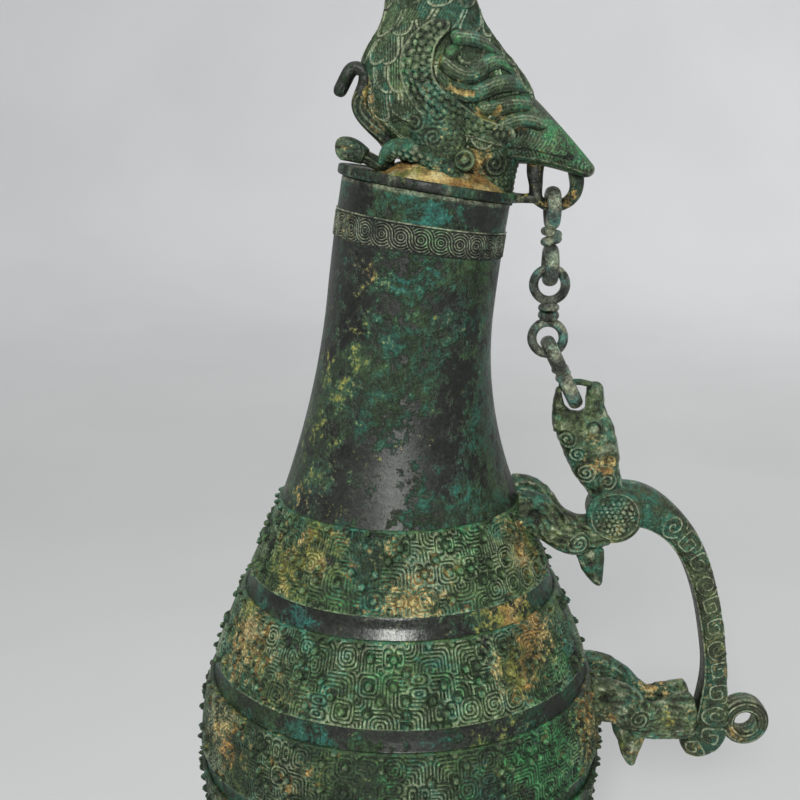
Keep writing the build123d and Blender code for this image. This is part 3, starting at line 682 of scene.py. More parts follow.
def bronze(name, cover=0.5, hue=0.5, gloss=0.26, wear=0.5, recess_shade=0.7, tint=1.0, green=None, second=None,
           bright=None, moss=0.35, seed=0.0):
    """Old bronze. Clouds of noise at six sizes part bare metal from the green skin, shift the skin from green
    to teal and speckle it. The patina values of the mesh tip the clouds towards earth, bright crust or bare
    metal. Low relief holds earth and is painted dark, as painted shade in the hollows; high relief turns
    pale, partly as bronze rubbed by hands and partly as a painted sheen on the crests. Roughness and metal
    follow the same masks, bare metal is glossier the more it is rubbed bare, and bump follows the small
    clouds."""
    colours = bpy.context.scene.vessel_finish
    green = green or tuple(colours.patina)
    second = second or tuple(colours.teal)
    bright = bright or tuple(colours.malachite)
    weave = Weave(name)
    values = weave.tree.nodes.new("ShaderNodeAttribute")
    values.attribute_name = "patina"
    parts = weave.tree.nodes.new("ShaderNodeSeparateColor")
    weave.tree.links.new(values.outputs["Color"], parts.inputs[0])
    earth, crust, bare = parts.outputs[0], parts.outputs[1], parts.outputs[2]
    relief = values.outputs["Alpha"]
    clouds = [weave.cloud(*cloud, seed + k) for k, cloud in enumerate(CLOUDS, 1)]
    large, mid, small, fine, drift, other = clouds
    covered = weave.step(weave.total((large, 0.35), (mid, 0.35), (small, 0.3), (bare, -0.45)), 0.9 - cover,
                         1.1 - cover)
    skin = weave.mix(weave.step(weave.total((drift, 0.6), (small, 0.4)), 0.86 - hue, 1.14 - hue),
                     shade(green, tint), shade(second, tint))
    skin = weave.mix(weave.step(other, 0.2, 0.8), shade(green, 0.38 * tint), skin)
    colour = weave.mix(covered, weave.mix(mid, shade(colours.metal, 0.6), shade(colours.metal, 1.4)), skin)
    crusted = weave.step(weave.total((crust, 0.8), (mid, 0.35), (small, 0.4), (fine, 0.2)), 0.72, 0.98)
    colour = weave.mix(weave.times(crusted, 0.9), colour,
                       weave.mix(other, shade(bright, 0.45), shade(bright, 1.25)))
    earthy = weave.step(weave.total((earth, 0.75), (other, 0.4), (small, 0.5), (fine, 0.2), (relief, -0.35)),
                        0.66, 0.96)
    soil = weave.mix(weave.step(mid, 0.35, 0.65), tuple(colours.ochre), tuple(colours.rust))
    soil = weave.mix(weave.step(drift, moss - 0.15, moss + 0.15), tuple(colours.moss), soil)
    colour = weave.mix(weave.times(earthy, 0.92), colour, soil)
    # Painted shade: low relief, in hollows, grooves and the rings round nipples, darkens towards a very dark
    # green, less where earth lies.
    low = weave.times(weave.step(relief, 0.5, 0.12), recess_shade)
    low = weave.times(low, weave.between(earthy, 1.0, 0.75))
    colour = weave.mix(low, colour, shade(green, 0.1))
    # Pale high relief by lot: bronze rubbed pale, and partly a painted sheen on the crests and nipple tops.
    rubbed = weave.step(weave.total((mid, 0.5), (other, 0.3), (fine, 0.2)), 0.2, 0.7)
    rubbed = weave.times(weave.step(relief, 0.55, 0.9), weave.times(rubbed, wear))
    colour = weave.mix(rubbed, colour, tuple(colours.worn_and_sheen))
    colour = weave.scaled(colour, weave.times(weave.between(fine, 0.4, 1.6), weave.between(small, 0.7, 1.3)))
    plain = weave.math("MAXIMUM", earthy, crusted)
    rough = weave.between(covered, weave.between(bare, 0.5, gloss), weave.between(small, 0.2, 0.46))
    rough = weave.between(weave.times(plain, 0.7), rough, 0.7)
    rough = weave.between(rubbed, rough, 0.26)
    metallic = weave.between(plain, weave.between(covered, 0.35, 0.08), 0.0)
    grain = weave.total((small, 0.5), (fine, 0.4), (mid, 0.25))
    height = weave.times(grain, weave.between(covered, 0.1, 1.0))
    normal = weave.node("Bump", {"Strength": 0.75, "Distance": 0.0011, "Height": height}, "Normal")
    finish = {"Base Color": colour, "Roughness": rough, "Metallic": metallic, "Normal": normal,
              "Specular IOR Level": weave.between(covered, 0.42, 0.34)}
    for key, value in finish.items():
        weave.put(value, weave.shader.inputs[key])
    return weave.material


def make_wall():
    """Gourd wall: rings up the outside, over a rounded lip and down the inside, closed by its base and floor.
    The strips between the belly's bands slope inwards over their upper half and keep that depth below it."""
    strip = BAND_STEP - BAND_HEIGHT
    tops = SHOULDER_HEIGHT - BAND_HEIGHT - BAND_STEP * np.arange(BAND_COUNT - 1)
    in_strips = (tops[:, None] - np.linspace(0.1, strip - 0.1, 20)).ravel()
    outer = np.unique(np.concatenate([np.linspace(FOOT_HEIGHT, HIGHEST - 0.5, 150), in_strips]))
    t = (tops - outer[:, None]) / strip
    hollow = np.where((t > 0.0) & (t < 1.0), fade(t, 0.0, 0.6), 0.0).sum(axis=1)
    inner = np.linspace(HIGHEST - 0.5, FOOT_HEIGHT + FLOOR, 70)
    lip = np.array([(HIGHEST - 0.15, -0.15), (HIGHEST, -0.5), (HIGHEST, -1.5), (HIGHEST, -2.5),
                    (HIGHEST - 0.15, -2.85)])
    climb = np.concatenate([outer, lip[:, 0], inner])[:, None]
    out = np.concatenate([-STRIP_HOLLOW * hollow, lip[:, 1], 0.0 * inner - WALL])[:, None]
    angle = full_turn(256)
    points = wall_point(climb, angle, out)
    inside = (np.arange(len(climb)) >= len(outer) + 2)[:, None] + 0.0 * angle
    bare = np.maximum(gather(points, WALL_BARE), 0.12 * (climb > SHOULDER_HEIGHT))
    relief = np.where(climb > HIGHEST - 0.8, 0.95, 0.5)
    skin = tube(points, relief, earth=0.8 * gather(points, WALL_EARTH) + 0.3 * inside,
                bright=0.62 * gather(points, WALL_BRIGHT), bare=bare * (1.0 - inside))
    wall = bronze("dark_polished_wall", cover=0.6, hue=0.5, gloss=0.22, tint=0.9, moss=0.75, seed=3.0,
                  bright=(0.012, 0.085, 0.066))
    make_piece("vessel_wall", [skin], "vessel", ["vessel_body"], wall)


def band_relief(turn, up, cells, rows, seed):
    """Cast figures of a belly band. turn runs over the cells round the belly and up over the rows. Each cell
    holds, by lot, a squared or rounder spiral, rounded quarter rings about two of its corners, nested angles
    about one corner, or a pair of small curls, seven lines to a cell, and round nipples in ring-shaped
    hollows stand on some corners, edges and middles of the cells. Gives line height and nipple height, each
    from 0 to 1."""
    rng = np.random.default_rng(seed)
    kind = rng.choice(8, size=(rows, cells), p=(0.17, 0.17, 0.14, 0.14, 0.1, 0.1, 0.09, 0.09))
    places = rng.random((2 * rows + 1, 2 * cells))
    i, j = np.floor(turn).astype(int), np.clip(np.floor(up).astype(int), 0, rows - 1)
    x, y = turn - i, up - j
    pitch = 1.0 / FIGURE_LINES
    first = np.minimum(rounded(x, y, 3.2), rounded(1.0 - x, 1.0 - y, 3.2))
    second = np.minimum(rounded(1.0 - x, y, 3.2), rounded(x, 1.0 - y, 3.2))
    side_curls = rounded(1.1 * (np.abs(x - 0.5) - 0.25), 0.62 * (y - 0.5), 3.4)
    level_curls = rounded(0.62 * (x - 0.5), 1.1 * (np.abs(y - 0.5) - 0.25), 3.4)
    figures = [whorl(x - 0.5, y - 0.5, pitch, 4.2, 1.0), whorl(x - 0.5, y - 0.5, pitch, 3.0, -1.0),
               lines(first, pitch), lines(second, pitch), lines(rounded(x, y, 7.0), pitch),
               lines(rounded(1.0 - x, y, 7.0), pitch), lines(side_curls, pitch), lines(level_curls, pitch)]
    line = fade(np.choose(kind[j, i % cells], figures), 0.14, 0.66)
    half_i, half_j = np.round(2.0 * turn).astype(int), np.clip(np.round(2.0 * up).astype(int), 0, 2 * rows)
    near = np.hypot(turn - 0.5 * half_i, up - 0.5 * half_j)
    share = np.where(half_i % 2 + half_j % 2 == 1, EDGE_SHARE, CORNER_SHARE)
    stands = places[half_j, half_i % (2 * cells)] < share
    reach = np.where(stands, near / NIPPLE_REACH, 9.0)
    return line * (1.0 - bell((reach - RING_REACH) / RING_WIDTH)), dome(reach**2)


def make_bands():
    """Four raised bands round the belly, each in a front part, which reaches a little past the outline, and a
    back part: cross-sections round the belly, with the cast figures on the face, a plain lip at the top and
    bottom, and a back inside the wall."""
    ornament = bpy.context.scene.vessel_ornament
    for band, tint in enumerate(BAND_TINTS):
        finish = bronze("cast_band_patina_%d" % (band + 1), cover=0.76, hue=0.47, gloss=0.26, wear=0.55,
                        recess_shade=0.76, tint=tint, seed=11.0)
        top = SHOULDER_HEIGHT - band * BAND_STEP
        bottom = top - BAND_HEIGHT
        girth = 2.0 * np.pi * float(belly_radius(np.array(0.5 * (top + bottom))))
        cells = int(round(girth / (ornament.cell_size / MM)))
        front = ("front", math.pi - FRONT_EXTRA, math.pi + 2.0 * FRONT_EXTRA, FRONT_SPACING[band])
        back = ("back", FRONT_EXTRA, math.pi - 2.0 * FRONT_EXTRA, BACK_SPACING)
        for name, start, sweep, spacing in (front, back):
            up = np.linspace(BAND_INSET, BAND_HEIGHT - BAND_INSET, int(BAND_HEIGHT / spacing))
            turn = np.linspace(start, start + sweep, int(0.5 * girth / spacing * sweep / math.pi))
            figure = np.clip((up - BAND_LIP) / (BAND_HEIGHT - 2.0 * BAND_LIP), 0.0, 1.0) * BAND_ROWS
            grid_turn, grid_up = np.meshgrid(turn, figure, indexing="ij")
            line, nipple = band_relief(grid_turn * cells / (2.0 * np.pi), grid_up, cells, BAND_ROWS,
                                       40 + band)
            points = wall_point(bottom + up, turn[:, None])
            rub = np.clip(0.72 + 0.3 * uneven(points, seed=5 + band, low=0.05, high=0.25), 0.2, 1.0)
            low_lip, high_lip = up < BAND_LIP, up > BAND_HEIGHT - BAND_LIP
            out = BAND_GROUND + ornament.line_depth / MM * line * rub + ornament.nipple_height / MM * nipple
            out = np.where(low_lip | high_lip, BAND_LIP_OUT, out)
            relief = np.clip(0.06 + 0.95 * line * rub, 0.0, 1.0)
            # Nipples: relief rises from 0 at the foot to 0.74 on top, so each is painted dark at its foot as
            # shade and paler on top as a painted highlight.
            relief = np.where(nipple > 0.05, 0.74 * fade(nipple, 0.35, 1.0), relief)
            relief = np.where(low_lip, 0.74, np.where(high_lip, 0.6, relief))
            face = wall_point(bottom + up, turn[:, None], out)
            under = wall_point(np.array([top + 0.25, top - 0.4, bottom + 0.4, bottom - 0.25]), turn[:, None],
                               np.array([-0.2, -1.6, -1.6, -0.2]))
            loops = np.concatenate([face, under], axis=1)
            pad = ((0, 0), (0, 4))
            skin = tube(loops, np.pad(relief, pad, constant_values=0.2),
                        poles=wall_point(0.5 * (top + bottom), turn[[0, -1]], -BAND_END_DEPTH),
                        earth=0.72 * gather(loops, BAND_EARTH), bright=0.68 * gather(loops, BAND_BRIGHT))
            make_piece("ornament_band_%d_%s" % (band + 1, name), [skin], "vessel", [],
                       finish)


def make_rope_band():
    """Rope band under the mouth. Rings stand round eyes a pitch apart; outside them the lines follow the left
    eye's rings above and the right eye's below, and the other eye's beyond five millimetres, so that they run
    on in S-curves. A thin line borders the top."""
    depth = bpy.context.scene.vessel_ornament.rope_depth / MM
    tall = ROPE_BAND_HEIGHT - 0.8
    bottom = HIGHEST - ROPE_BAND_DROP - tall
    pitch = 2.0 * np.pi * NECK_RADIUS / ROPE_EYES
    up = np.linspace(BAND_INSET, tall - BAND_INSET, 56)
    angle = full_turn(1080)
    grid_angle, grid_up = np.meshgrid(angle, up, indexing="ij")
    along = grid_angle * NECK_RADIUS / pitch
    off = (along - np.floor(along)) * pitch
    height = grid_up - 0.5 * tall
    left, right = np.hypot(off, height), np.hypot(off - pitch, height)
    above = np.where(left < 5.0, left, right)
    below = np.where(right < 5.0, right, left)
    near = np.minimum(left, right)
    distance = np.where(near < 1.5, near, np.where(height > 0.0, above, below))
    line = fade(lines(distance, pitch / ROPE_LINES), 0.35, 0.9)
    top_line = grid_up > tall - 0.6
    edge = (grid_up < 0.5) | (grid_up > tall - 1.2)
    line = np.where(top_line, 1.0, np.where(edge, 0.1, line))
    face = wall_point(bottom + up, angle[:, None], 0.05 + depth * line)
    under = wall_point(bottom + np.array([tall + 0.1, tall - 0.4, 0.4, -0.1]), angle[:, None],
                       np.array([-0.2, -1.2, -1.2, -0.2]))
    loops = np.concatenate([face, under], axis=1)
    relief = np.where(top_line, 0.95, 0.08 + 0.78 * line)
    skin = tube(loops, np.pad(relief, ((0, 0), (0, 4)), constant_values=0.2), ring=True,
                earth=0.5 * gather(loops, [(288, -150, 14, 0.6), (288, 120, 18, 0.6)]),
                bright=0.6 * gather(loops, [(292, -80, 10, 0.7), (286, 60, 12, 0.6)]), bare=0.1)
    finish = bronze("rope_band_patina", cover=0.68, hue=0.42, gloss=0.3, wear=0.65, recess_shade=0.92, seed=17.0,
                    green=(0.058, 0.078, 0.056))
    make_piece("rope_band", [skin], "vessel", [], finish)


def make_foot():
    """Ring foot: a rounded moulding turned round the axis, with a groove, hollow inside."""
    outer, inner = FOOT_RADIUS, FOOT_RADIUS - FOOT_WIDTH
    profile = [(inner, 7.9), (outer - 1.4, 7.9), (outer - 0.5, 7.5), (outer - 0.1, 6.6), (outer - 0.3, 5.4),
               (outer - 1.0, 4.7), (outer - 0.3, 4.0), (outer, 3.0), (outer, 1.6), (outer - 0.4, 0.6),
               (outer - 1.4, 0.0), (inner + 1.0, 0.0), (inner + 0.3, 0.3), (inner, 1.0), (inner, 7.0)]
    profile = np.asarray(profile)
    angle = full_turn(256)
    loops = np.stack([profile[:, 0] * np.cos(angle[:, None]), profile[:, 0] * np.sin(angle[:, None]),
                      profile[:, 1] + 0.0 * angle[:, None]], axis=-1)
    relief = np.array([0.4, 0.7, 0.9, 0.9, 0.4, 0.1, 0.4, 0.9, 0.9, 0.8, 0.6, 0.6, 0.5, 0.4, 0.4])
    green = [(20, -45, 3, 26, 0.6), (-40, 20, 3, 24, 0.6)]
    skin = tube(loops, relief, ring=True, earth=0.25, bright=spots(loops, green))
    finish = bronze("ring_foot_patina", cover=0.6, hue=0.46, gloss=0.3, seed=23.0)
    make_piece("ring_foot_moulding", [skin], "vessel", ["ring_foot"], finish)


def make_lid():
    """Lid plate: a disc turned round the mouth's tilted axis, with a grooved rim, a crust of earth on top
    that rises and falls with even bumps, and the spigot below."""
    top = LID_GAP + LID_THICKNESS
    plate_top = [(r, top) for r in np.linspace(0.4, LID_RADIUS - 1.0, 46)]
    edge = LID_RADIUS + LID_RIM_OUT
    rim = [(edge - 1.2, top + 0.6), (edge - 0.5, top + 0.7), (edge - 0.1, top + 0.4), (edge, top - 0.2),
           (edge, 1.2), (edge - 0.2, 0.6), (edge - 0.7, 0.25), (edge - 1.6, LID_GAP)]
    spigot_out = NECK_RADIUS - WALL - SPIGOT_CLEARANCE
    below = [(29.0, LID_GAP), (spigot_out + 0.1, LID_GAP), (spigot_out, -0.3),
             (spigot_out, 0.3 - SPIGOT_DEPTH), (spigot_out - 0.4, -SPIGOT_DEPTH),
             (spigot_out - 2.1, -SPIGOT_DEPTH), (spigot_out - 2.5, 0.3 - SPIGOT_DEPTH),
             (spigot_out - 2.5, -0.2), (spigot_out - 3.0, LID_GAP), (10.0, LID_GAP), (0.4, LID_GAP)]

    def crust(radius, angle, up):
        x, y = radius * np.cos(angle), radius * np.sin(angle)
        bumps = ripple(x, y, seed=3, low=0.3, high=1.1)
        bank = 5.0 * fade(LID_RADIUS - 1.6 - radius, 0.0, 10.0) * fade(x, -20.0, -8.0)
        rise = bank * (1.0 + 0.05 * bumps) + 0.2 * (bumps - 0.2) * fade(LID_RADIUS - 1.2 - radius, 0.0, 2.0)
        return rise * (np.abs(up - top) < 0.01), 0.5 + 0.25 * bumps

    def earth(points):
        x = points[..., 0] - MOUTH_X
        over = (points[..., 2] - MOUTH_Z) + x * math.tan(NECK_TILT) > 2.6
        within = 0.95 - 0.95 * fade(np.hypot(x, points[..., 1]), 30.0, 31.4)
        return over * within * (0.4 + 0.6 * fade(x, -24.0, -6.0))

    green = [(MOUTH_X + 30, -12, MOUTH_Z - 2, 9, 0.6), (MOUTH_X - 6, -29, MOUTH_Z + 4, 7, 0.25)]
    rubbed = [(MOUTH_X, -32, MOUTH_Z + 1, 16, 0.15)]
    skin = turned(plate_top + rim + below, 240, lid_point, crust, earth=earth,
                  bright=lambda p: spots(p, green), bare=lambda p: spots(p, rubbed))
    finish = bronze("lid_plate_patina", cover=0.62, hue=0.5, gloss=0.3, seed=30.0)
    make_piece("lid_disc", [skin], "lid", ["lid_plate"], finish)


# Where earth and bright green gather on the bird, from the centre of the mouth: x, y, z, radius, amount
BIRD_EARTH = [(6, -24, 12, 9, 0.4), (18, -17, 8, 8, 1.0), (-20, -9, 32, 7, 0.7), (-17, -10, 23, 6, 0.6),
              (-6, -22, 30, 8, 0.4), (26, -18, 22, 8, 0.5), (-16, -8, 14, 10, 0.6), (44, -6, 12, 9, 0.5),
              (12, -22, 36, 7, 0.35), (4, 24, 15, 12, 0.75), (22, 18, 6, 10, 0.9), (26, 18, 22, 8, 0.5),
              (44, 6, 12, 9, 0.5), (-16, 8, 14, 10, 0.6), (20, 0, 50, 10, 0.5)]
BIRD_BRIGHT = [(26, -16, 44, 10, 0.7), (34, -14, 34, 10, 0.5), (50, -8, 14, 14, 0.7), (-8, -18, 40, 10, 0.4),
               (10, -20, 50, 8, 0.5), (58, -2, 6, 10, 0.6), (26, 16, 44, 12, 0.7), (50, 8, 14, 14, 0.7),
               (-8, 18, 40, 12, 0.5), (0, 6, 84, 12, 0.5)]


def bird_places(places):
    """Spots given from the centre of the mouth, as a function of points in the frame."""
    moved = [(x + MOUTH_X, y, z + MOUTH_Z, radius, amount) for x, y, z, radius, amount in places]
    return lambda points: 0.72 * spots(points, moved)


def bird_layers():
    """Earth and bright crust of the bird."""
    return dict(earth=bird_places(BIRD_EARTH), bright=bird_places(BIRD_BRIGHT))


def bird_finish(name, seed, **changes):
    """Grey-green feathers with earth between them."""
    settings = dict(cover=0.78, hue=0.46, gloss=0.26, wear=0.75, recess_shade=0.95, tint=1.25,
                    green=(0.048, 0.08, 0.034))
    return bronze(name, seed=seed, **{**settings, **changes})


def torso_side(x, z):
    """Half width of the bird at a place seen from the side: the wider of the torso's and the tail's oval."""
    sections = np.asarray(TORSO, float)
    inside = np.clip(z.ravel(), sections[0, 0], sections[-1, 0])
    row = spline(sections[:, 0], sections[:, 1:], inside).reshape(*z.shape, 3)
    middle, deep = 0.5 * (row[..., 0] + row[..., 1]), 0.5 * (row[..., 1] - row[..., 0])
    body = row[..., 2] * dome(((x - middle) / deep) ** 2)
    tail = np.asarray(TAIL, float)
    at = spline(tail[:, 0], tail[:, 2:], np.clip(x.ravel(), 24.0, 60.0)).reshape(*x.shape, 3)
    rump = at[..., 2] * dome(((z - at[..., 0]) / at[..., 1]) ** 2) * (x > 24.0)
    return np.maximum(body, rump)


def make_bird_body():
    """Bird's torso with U-shaped feathers all round and grains on its lower flanks, and the tail, whose five
    feathers lie side by side with slanting barbs each side of their quills."""
    depth = bpy.context.scene.vessel_ornament.feather_depth / MM

    def plumage(p):
        coat = feathers(p.girth, p.z, 10.5, 9.5, 1.0)
        flank = granules(p.girth, p.z, 2.3)
        curl = 0.75 * whorl(p.x - 24.0, p.z - 9.0, 2.0)
        near = np.hypot(p.x - 24.0, p.z - 9.0)
        low = 1.0 - fade(p.z, 10.0, 13.0)
        value = coat * (1.0 - low) + low * np.where(near < 4.6, curl, 0.7 * flank)
        return depth * (value - 0.35), value

    def quills(p):
        feather = p.w / 5.0
        off = np.abs(feather - np.round(feather)) * 5.0
        barbs = lines(p.s + 1.1 * off, 1.3)
        ribbed = np.where(off < 0.4, 0.8, np.where(off > 2.3, 0.15, 0.3 + 0.45 * barbs))
        plain = fade(-p.v, 0.5, 2.5)
        value = ribbed * (1.0 - plain) + 0.55 * plain
        return 0.55 * (value - 0.5), value

    layers = bird_layers()
    torso = stack(TORSO, 190, 300, plumage, square=2.05, origin=MOUTH, **layers)
    tail = limb(TAIL, 130, 160, quills, square=2.3, ends=(0.0, 2.5), origin=MOUTH, **layers)
    make_piece("bird_torso", [torso, tail], "lid", ["bird_body"],
               bird_finish("feathered_bronze", 31.0))


def make_bird_head():
    """Bird's head with small feathers, ringed eyes on both sides, and a hooked beak with its mouth line."""
    layers = bird_layers()
    eye = (-6.5, 83.0)

    def plumage(p):
        value = feathers(p.girth, p.z, 6.0, 4.2, 1.0)
        face = fade(-p.x - 3.0 + 0.25 * (84.0 - p.z), 0.0, 4.0)
        value = value * (1.0 - face) + 0.6 * face
        return 0.7 * (value - 0.35), value

    def beak_lines(p):
        value = np.where(np.abs(p.v + 0.6) < 0.35, 0.0, 0.75)
        return 0.5 * (value - 0.75), value

    def pupil(x, z):
        r = np.hypot(x - eye[0], z - eye[1])
        value = np.where(r < 1.6, 0.9, np.where(r < 2.2, 0.05, 0.85))
        return 0.7 * dome((r / 1.7) ** 2) - 0.7 * ((r > 1.6) & (r < 2.3)), value

    skins = [stack(HEAD, 100, 220, plumage, origin=MOUTH, **layers),
             limb(BEAK, 60, 72, beak_lines, ends=(0.0, 1.5), origin=MOUTH, **layers)]
    for _, side in SIDES:
        skins.append(plate(circle(*eye, 3.6), 26, 60, lambda x, z: 8.9 + 0.0 * x, 0.9, side, pupil, MOUTH,
                           sink=1.5, edge=0.3))
    make_piece("bird_head_and_beak", skins, "lid", ["bird_head"],
               bird_finish("fine_feathered_bronze", 37.0))


def wing_pattern(x, z):
    """Wing: a broad curved strip of uneven scales between two thin ridges, domed feathers that run back from
    it with ribs along them and dark gaps between, hollows at their front ends, a round boss, and small
    feathers elsewhere. The domed feathers are painted paler on their upper side and darker on their lower
    side, as painted light, and the gaps between them are painted shade."""
    along, across = beside(WING_SCALES, x, z, 90)
    half = 3.0 + 2.2 * fade(along, 0.0, 14.0) - 1.9 * fade(along, 34.0, 50.0)
    shift = 0.4 * ripple(x, z, seed=19, low=0.5, high=1.1)
    scales = granules(along + shift, across - shift, 2.75)
    coat = feathers(1.1 * x, z, 10.5, 9.5, 1.0)
    # Behind the strip the small feathers are sunk and painted nearly black, as painted shade in the gaps.
    behind = fade(across, half, half + 1.0)
    out, value = 0.6 * (coat - 0.6) - 1.0 * behind, coat * (1.0 - 0.9 * behind)
    crest = np.zeros_like(x)
    for path, broad in WING_LOBES:
        off = beside(path, x, z, 50)[1]
        crown = dome((off / broad) ** 2)
        ribs = lines(off, 1.3)
        taller = crown > crest
        out = np.where(taller, 2.6 * crown - 1.4 + 0.25 * ribs * crown, out)
        # Each lobe is painted paler on its upper side and darker on its lower side, painted light, and dark
        # at its edges, painted shade.
        value = np.where(taller, crown * (0.45 + 0.35 * fade(off / broad, -0.7, 0.7) + 0.2 * ribs) - 0.1,
                         value)
        crest = np.maximum(crest, crown)
    boss = dome(((x - 7.9) ** 2 + (z - 46.6) ** 2) / 2.9**2)
    out = np.where(boss > 0.0, np.maximum(out, 2.2 * boss - 1.2), out)
    value = np.where(boss > 0.0, 0.12 + 0.3 * boss, value)
    for path in WING_HOLLOWS:
        dip = bell(beside(path, x, z, 50)[1] / 1.2)
        out = out - 1.5 * dip
        value = value * (1.0 - dip) + 0.3 * dip
    strip = np.abs(across)
    out = np.where(strip < half, 0.3 + 0.7 * scales, out)
    value = np.where(strip < half, 0.1 + 0.65 * scales, value)
    ridge = bell((strip - half) / 0.45)
    near = strip < half + 1.0
    out = np.where(near, np.maximum(out, 1.1 * ridge), out)
    value = np.where(near & (ridge > 0.5), 0.75, value)
    return out, value


def wing_earth(points):
    """Earth on a wing: the bird's spots, and the hollows at the feathers' front ends."""
    x, z = points[..., 0] - MOUTH_X, points[..., 2] - MOUTH_Z
    total = bird_places(BIRD_EARTH)(points)
    for path in WING_HOLLOWS:
        total = np.maximum(total, 0.95 * bell(beside(path, x, z, 50)[1] / 1.15))
    return total


def make_wings():
    """Wings: plates over the bird's sides with the wing's pattern."""
    finish = bird_finish("wing_bronze", 41.0)
    for name, side in SIDES:
        rings, around = (150, 420) if side < 0.0 else (100, 280)
        skin = plate(WING_EDGE, rings, around, torso_side, WING_THICKNESS - 1.2, side, wing_pattern, MOUTH,
                     sink=1.2, edge=0.06, earth=wing_earth, bright=bird_places(BIRD_BRIGHT))
        make_piece("wing_plate_" + name, [skin], "lid", ["wing_" + name], finish)


def make_bird_legs():
    """Bird's legs: a smooth thigh with a few small spirals, an arched foot with a row of beads below and a
    curl at its heel, and three claws."""
    finish = bird_finish("bird_leg_bronze", 43.0, wear=0.6)
    layers = bird_layers()

    def curls(p):
        x, z = p.points[..., 0] - MOUTH_X, p.points[..., 2] - MOUTH_Z
        value = 0.12 + 0.5 * granules(x + 0.3 * z, z, 2.1)
        for at_x, at_z in ((-4.9, 23.3), (1.7, 18.2), (3.0, 26.5)):
            near = np.hypot(x - at_x, z - at_z)
            value = np.where(near < 3.7, 0.1 + 0.65 * whorl(x - at_x, z - at_z, 1.75), value)
        return 0.9 * (value - 0.5), value

    def beads(p):
        row = granules(p.s, p.girth, 2.7)
        lower = 1.0 - fade(p.v, -0.6, 0.4)
        lumps = 0.55 + 0.22 * uneven(p.points, seed=28, low=0.6, high=1.6)
        value = np.clip(lower * (0.1 + 0.75 * row) + (1.0 - lower) * lumps, 0.0, 1.0)
        return 0.9 * (value - 0.4), value

    def scroll(x, z):
        value = 0.1 + 0.65 * lines(np.hypot(x - 12.4, z - 10.7) - 3.2, 2.6)
        return 1.0 * (value - 0.3), value

    for name, side in SIDES:
        skins = [limb(THIGH, 110, 110, curls, side, 2.3, (5.0, 0.0), MOUTH, **layers),
                 limb(BIRD_FOOT, 110, 80, beads, side, 2.2, (2.0, 2.0), MOUTH, **layers),
                 plate(circle(12.4, 10.7, 4.1), 34, 80, lambda x, z: 23.4 + 0.0 * x, 1.4, side, scroll, MOUTH,
                       sink=3.0, edge=0.3, **layers)]
        for spread in (-3.0, 0.0, 3.0):
            claw = [(-6, 16.8 + spread, 13.5, 2.6, 1.9), (-11, 16.2 + spread, 15.6, 2.4, 1.8),
                    (-14.6, 15.4 + spread, 13.2, 2.0, 1.6), (-16.4, 15.0 + spread, 8.6, 0.9, 0.9)]
            skins.append(limb(claw, 40, 32, None, side, 2.0, (1.0, 1.2), MOUTH, **layers))
        make_piece("bird_leg_with_claws_" + name, skins, "lid", ["bird_leg_" + name], finish)


def make_snakes():
    """Snakes in the bird's claws: a grooved round body on a smooth line, a blunt head with mouth and eyes."""
    finish = bird_finish("snake_bronze", 47.0, cover=0.62, tint=0.7, gloss=0.5)
    line = [(*at, 2.7 if 3 < k < 6 else 2.2, 2.6 if k < 6 else 2.2) for k, at in enumerate(SNAKE)]

    def grooves(p):
        value = np.where(p.s < 46.0, 0.15 + 0.6 * lines(p.girth, 2.2), 0.4)
        return 0.35 * (value - 0.6), value

    def face(p):
        mouth = np.abs(p.v + 0.5) < 0.4
        eye = np.exp(-((p.s - 5.8) ** 2 + (p.v - 1.8) ** 2) / 1.0) * (np.abs(p.w) > 1.5)
        value = np.where(mouth & (p.s < 6.5), 0.0, 0.65) + 0.3 * eye
        return 0.7 * (value - 0.65) + 0.8 * eye, value

    for name, side in SIDES:
        head = [(-32.8, 4.9, 14.2, 3.7, 3.6), (-29.0, 5.4, 14.2, 4.2, 4.1), (-25.0, 6.0, 12.8, 3.7, 3.9),
                (-21.5, 6.6, 11.0, 2.6, 3.0)]
        # Bare dark metal on the snake's hooked tail: partly the smooth metal and partly painted shade.
        dark = bird_places([(-24, side * 7.6, 42, 7, 0.6), (-29, side * 7.6, 38, 9, 0.6),
                            (-31, side * 7.6, 34, 9, 0.6)])
        earth = bird_places(BIRD_EARTH)
        body = limb(line, 200, 48, grooves, side, 2.0, (2.0, 3.0), MOUTH, bare=dark, earth=earth)
        skull = limb(head, 60, 64, face, side, 2.6, (2.5, 1.0), MOUTH, bright=0.25, earth=0.3)
        make_piece("coiled_snake_" + name, [body, skull], "lid", ["snake_" + name], finish)


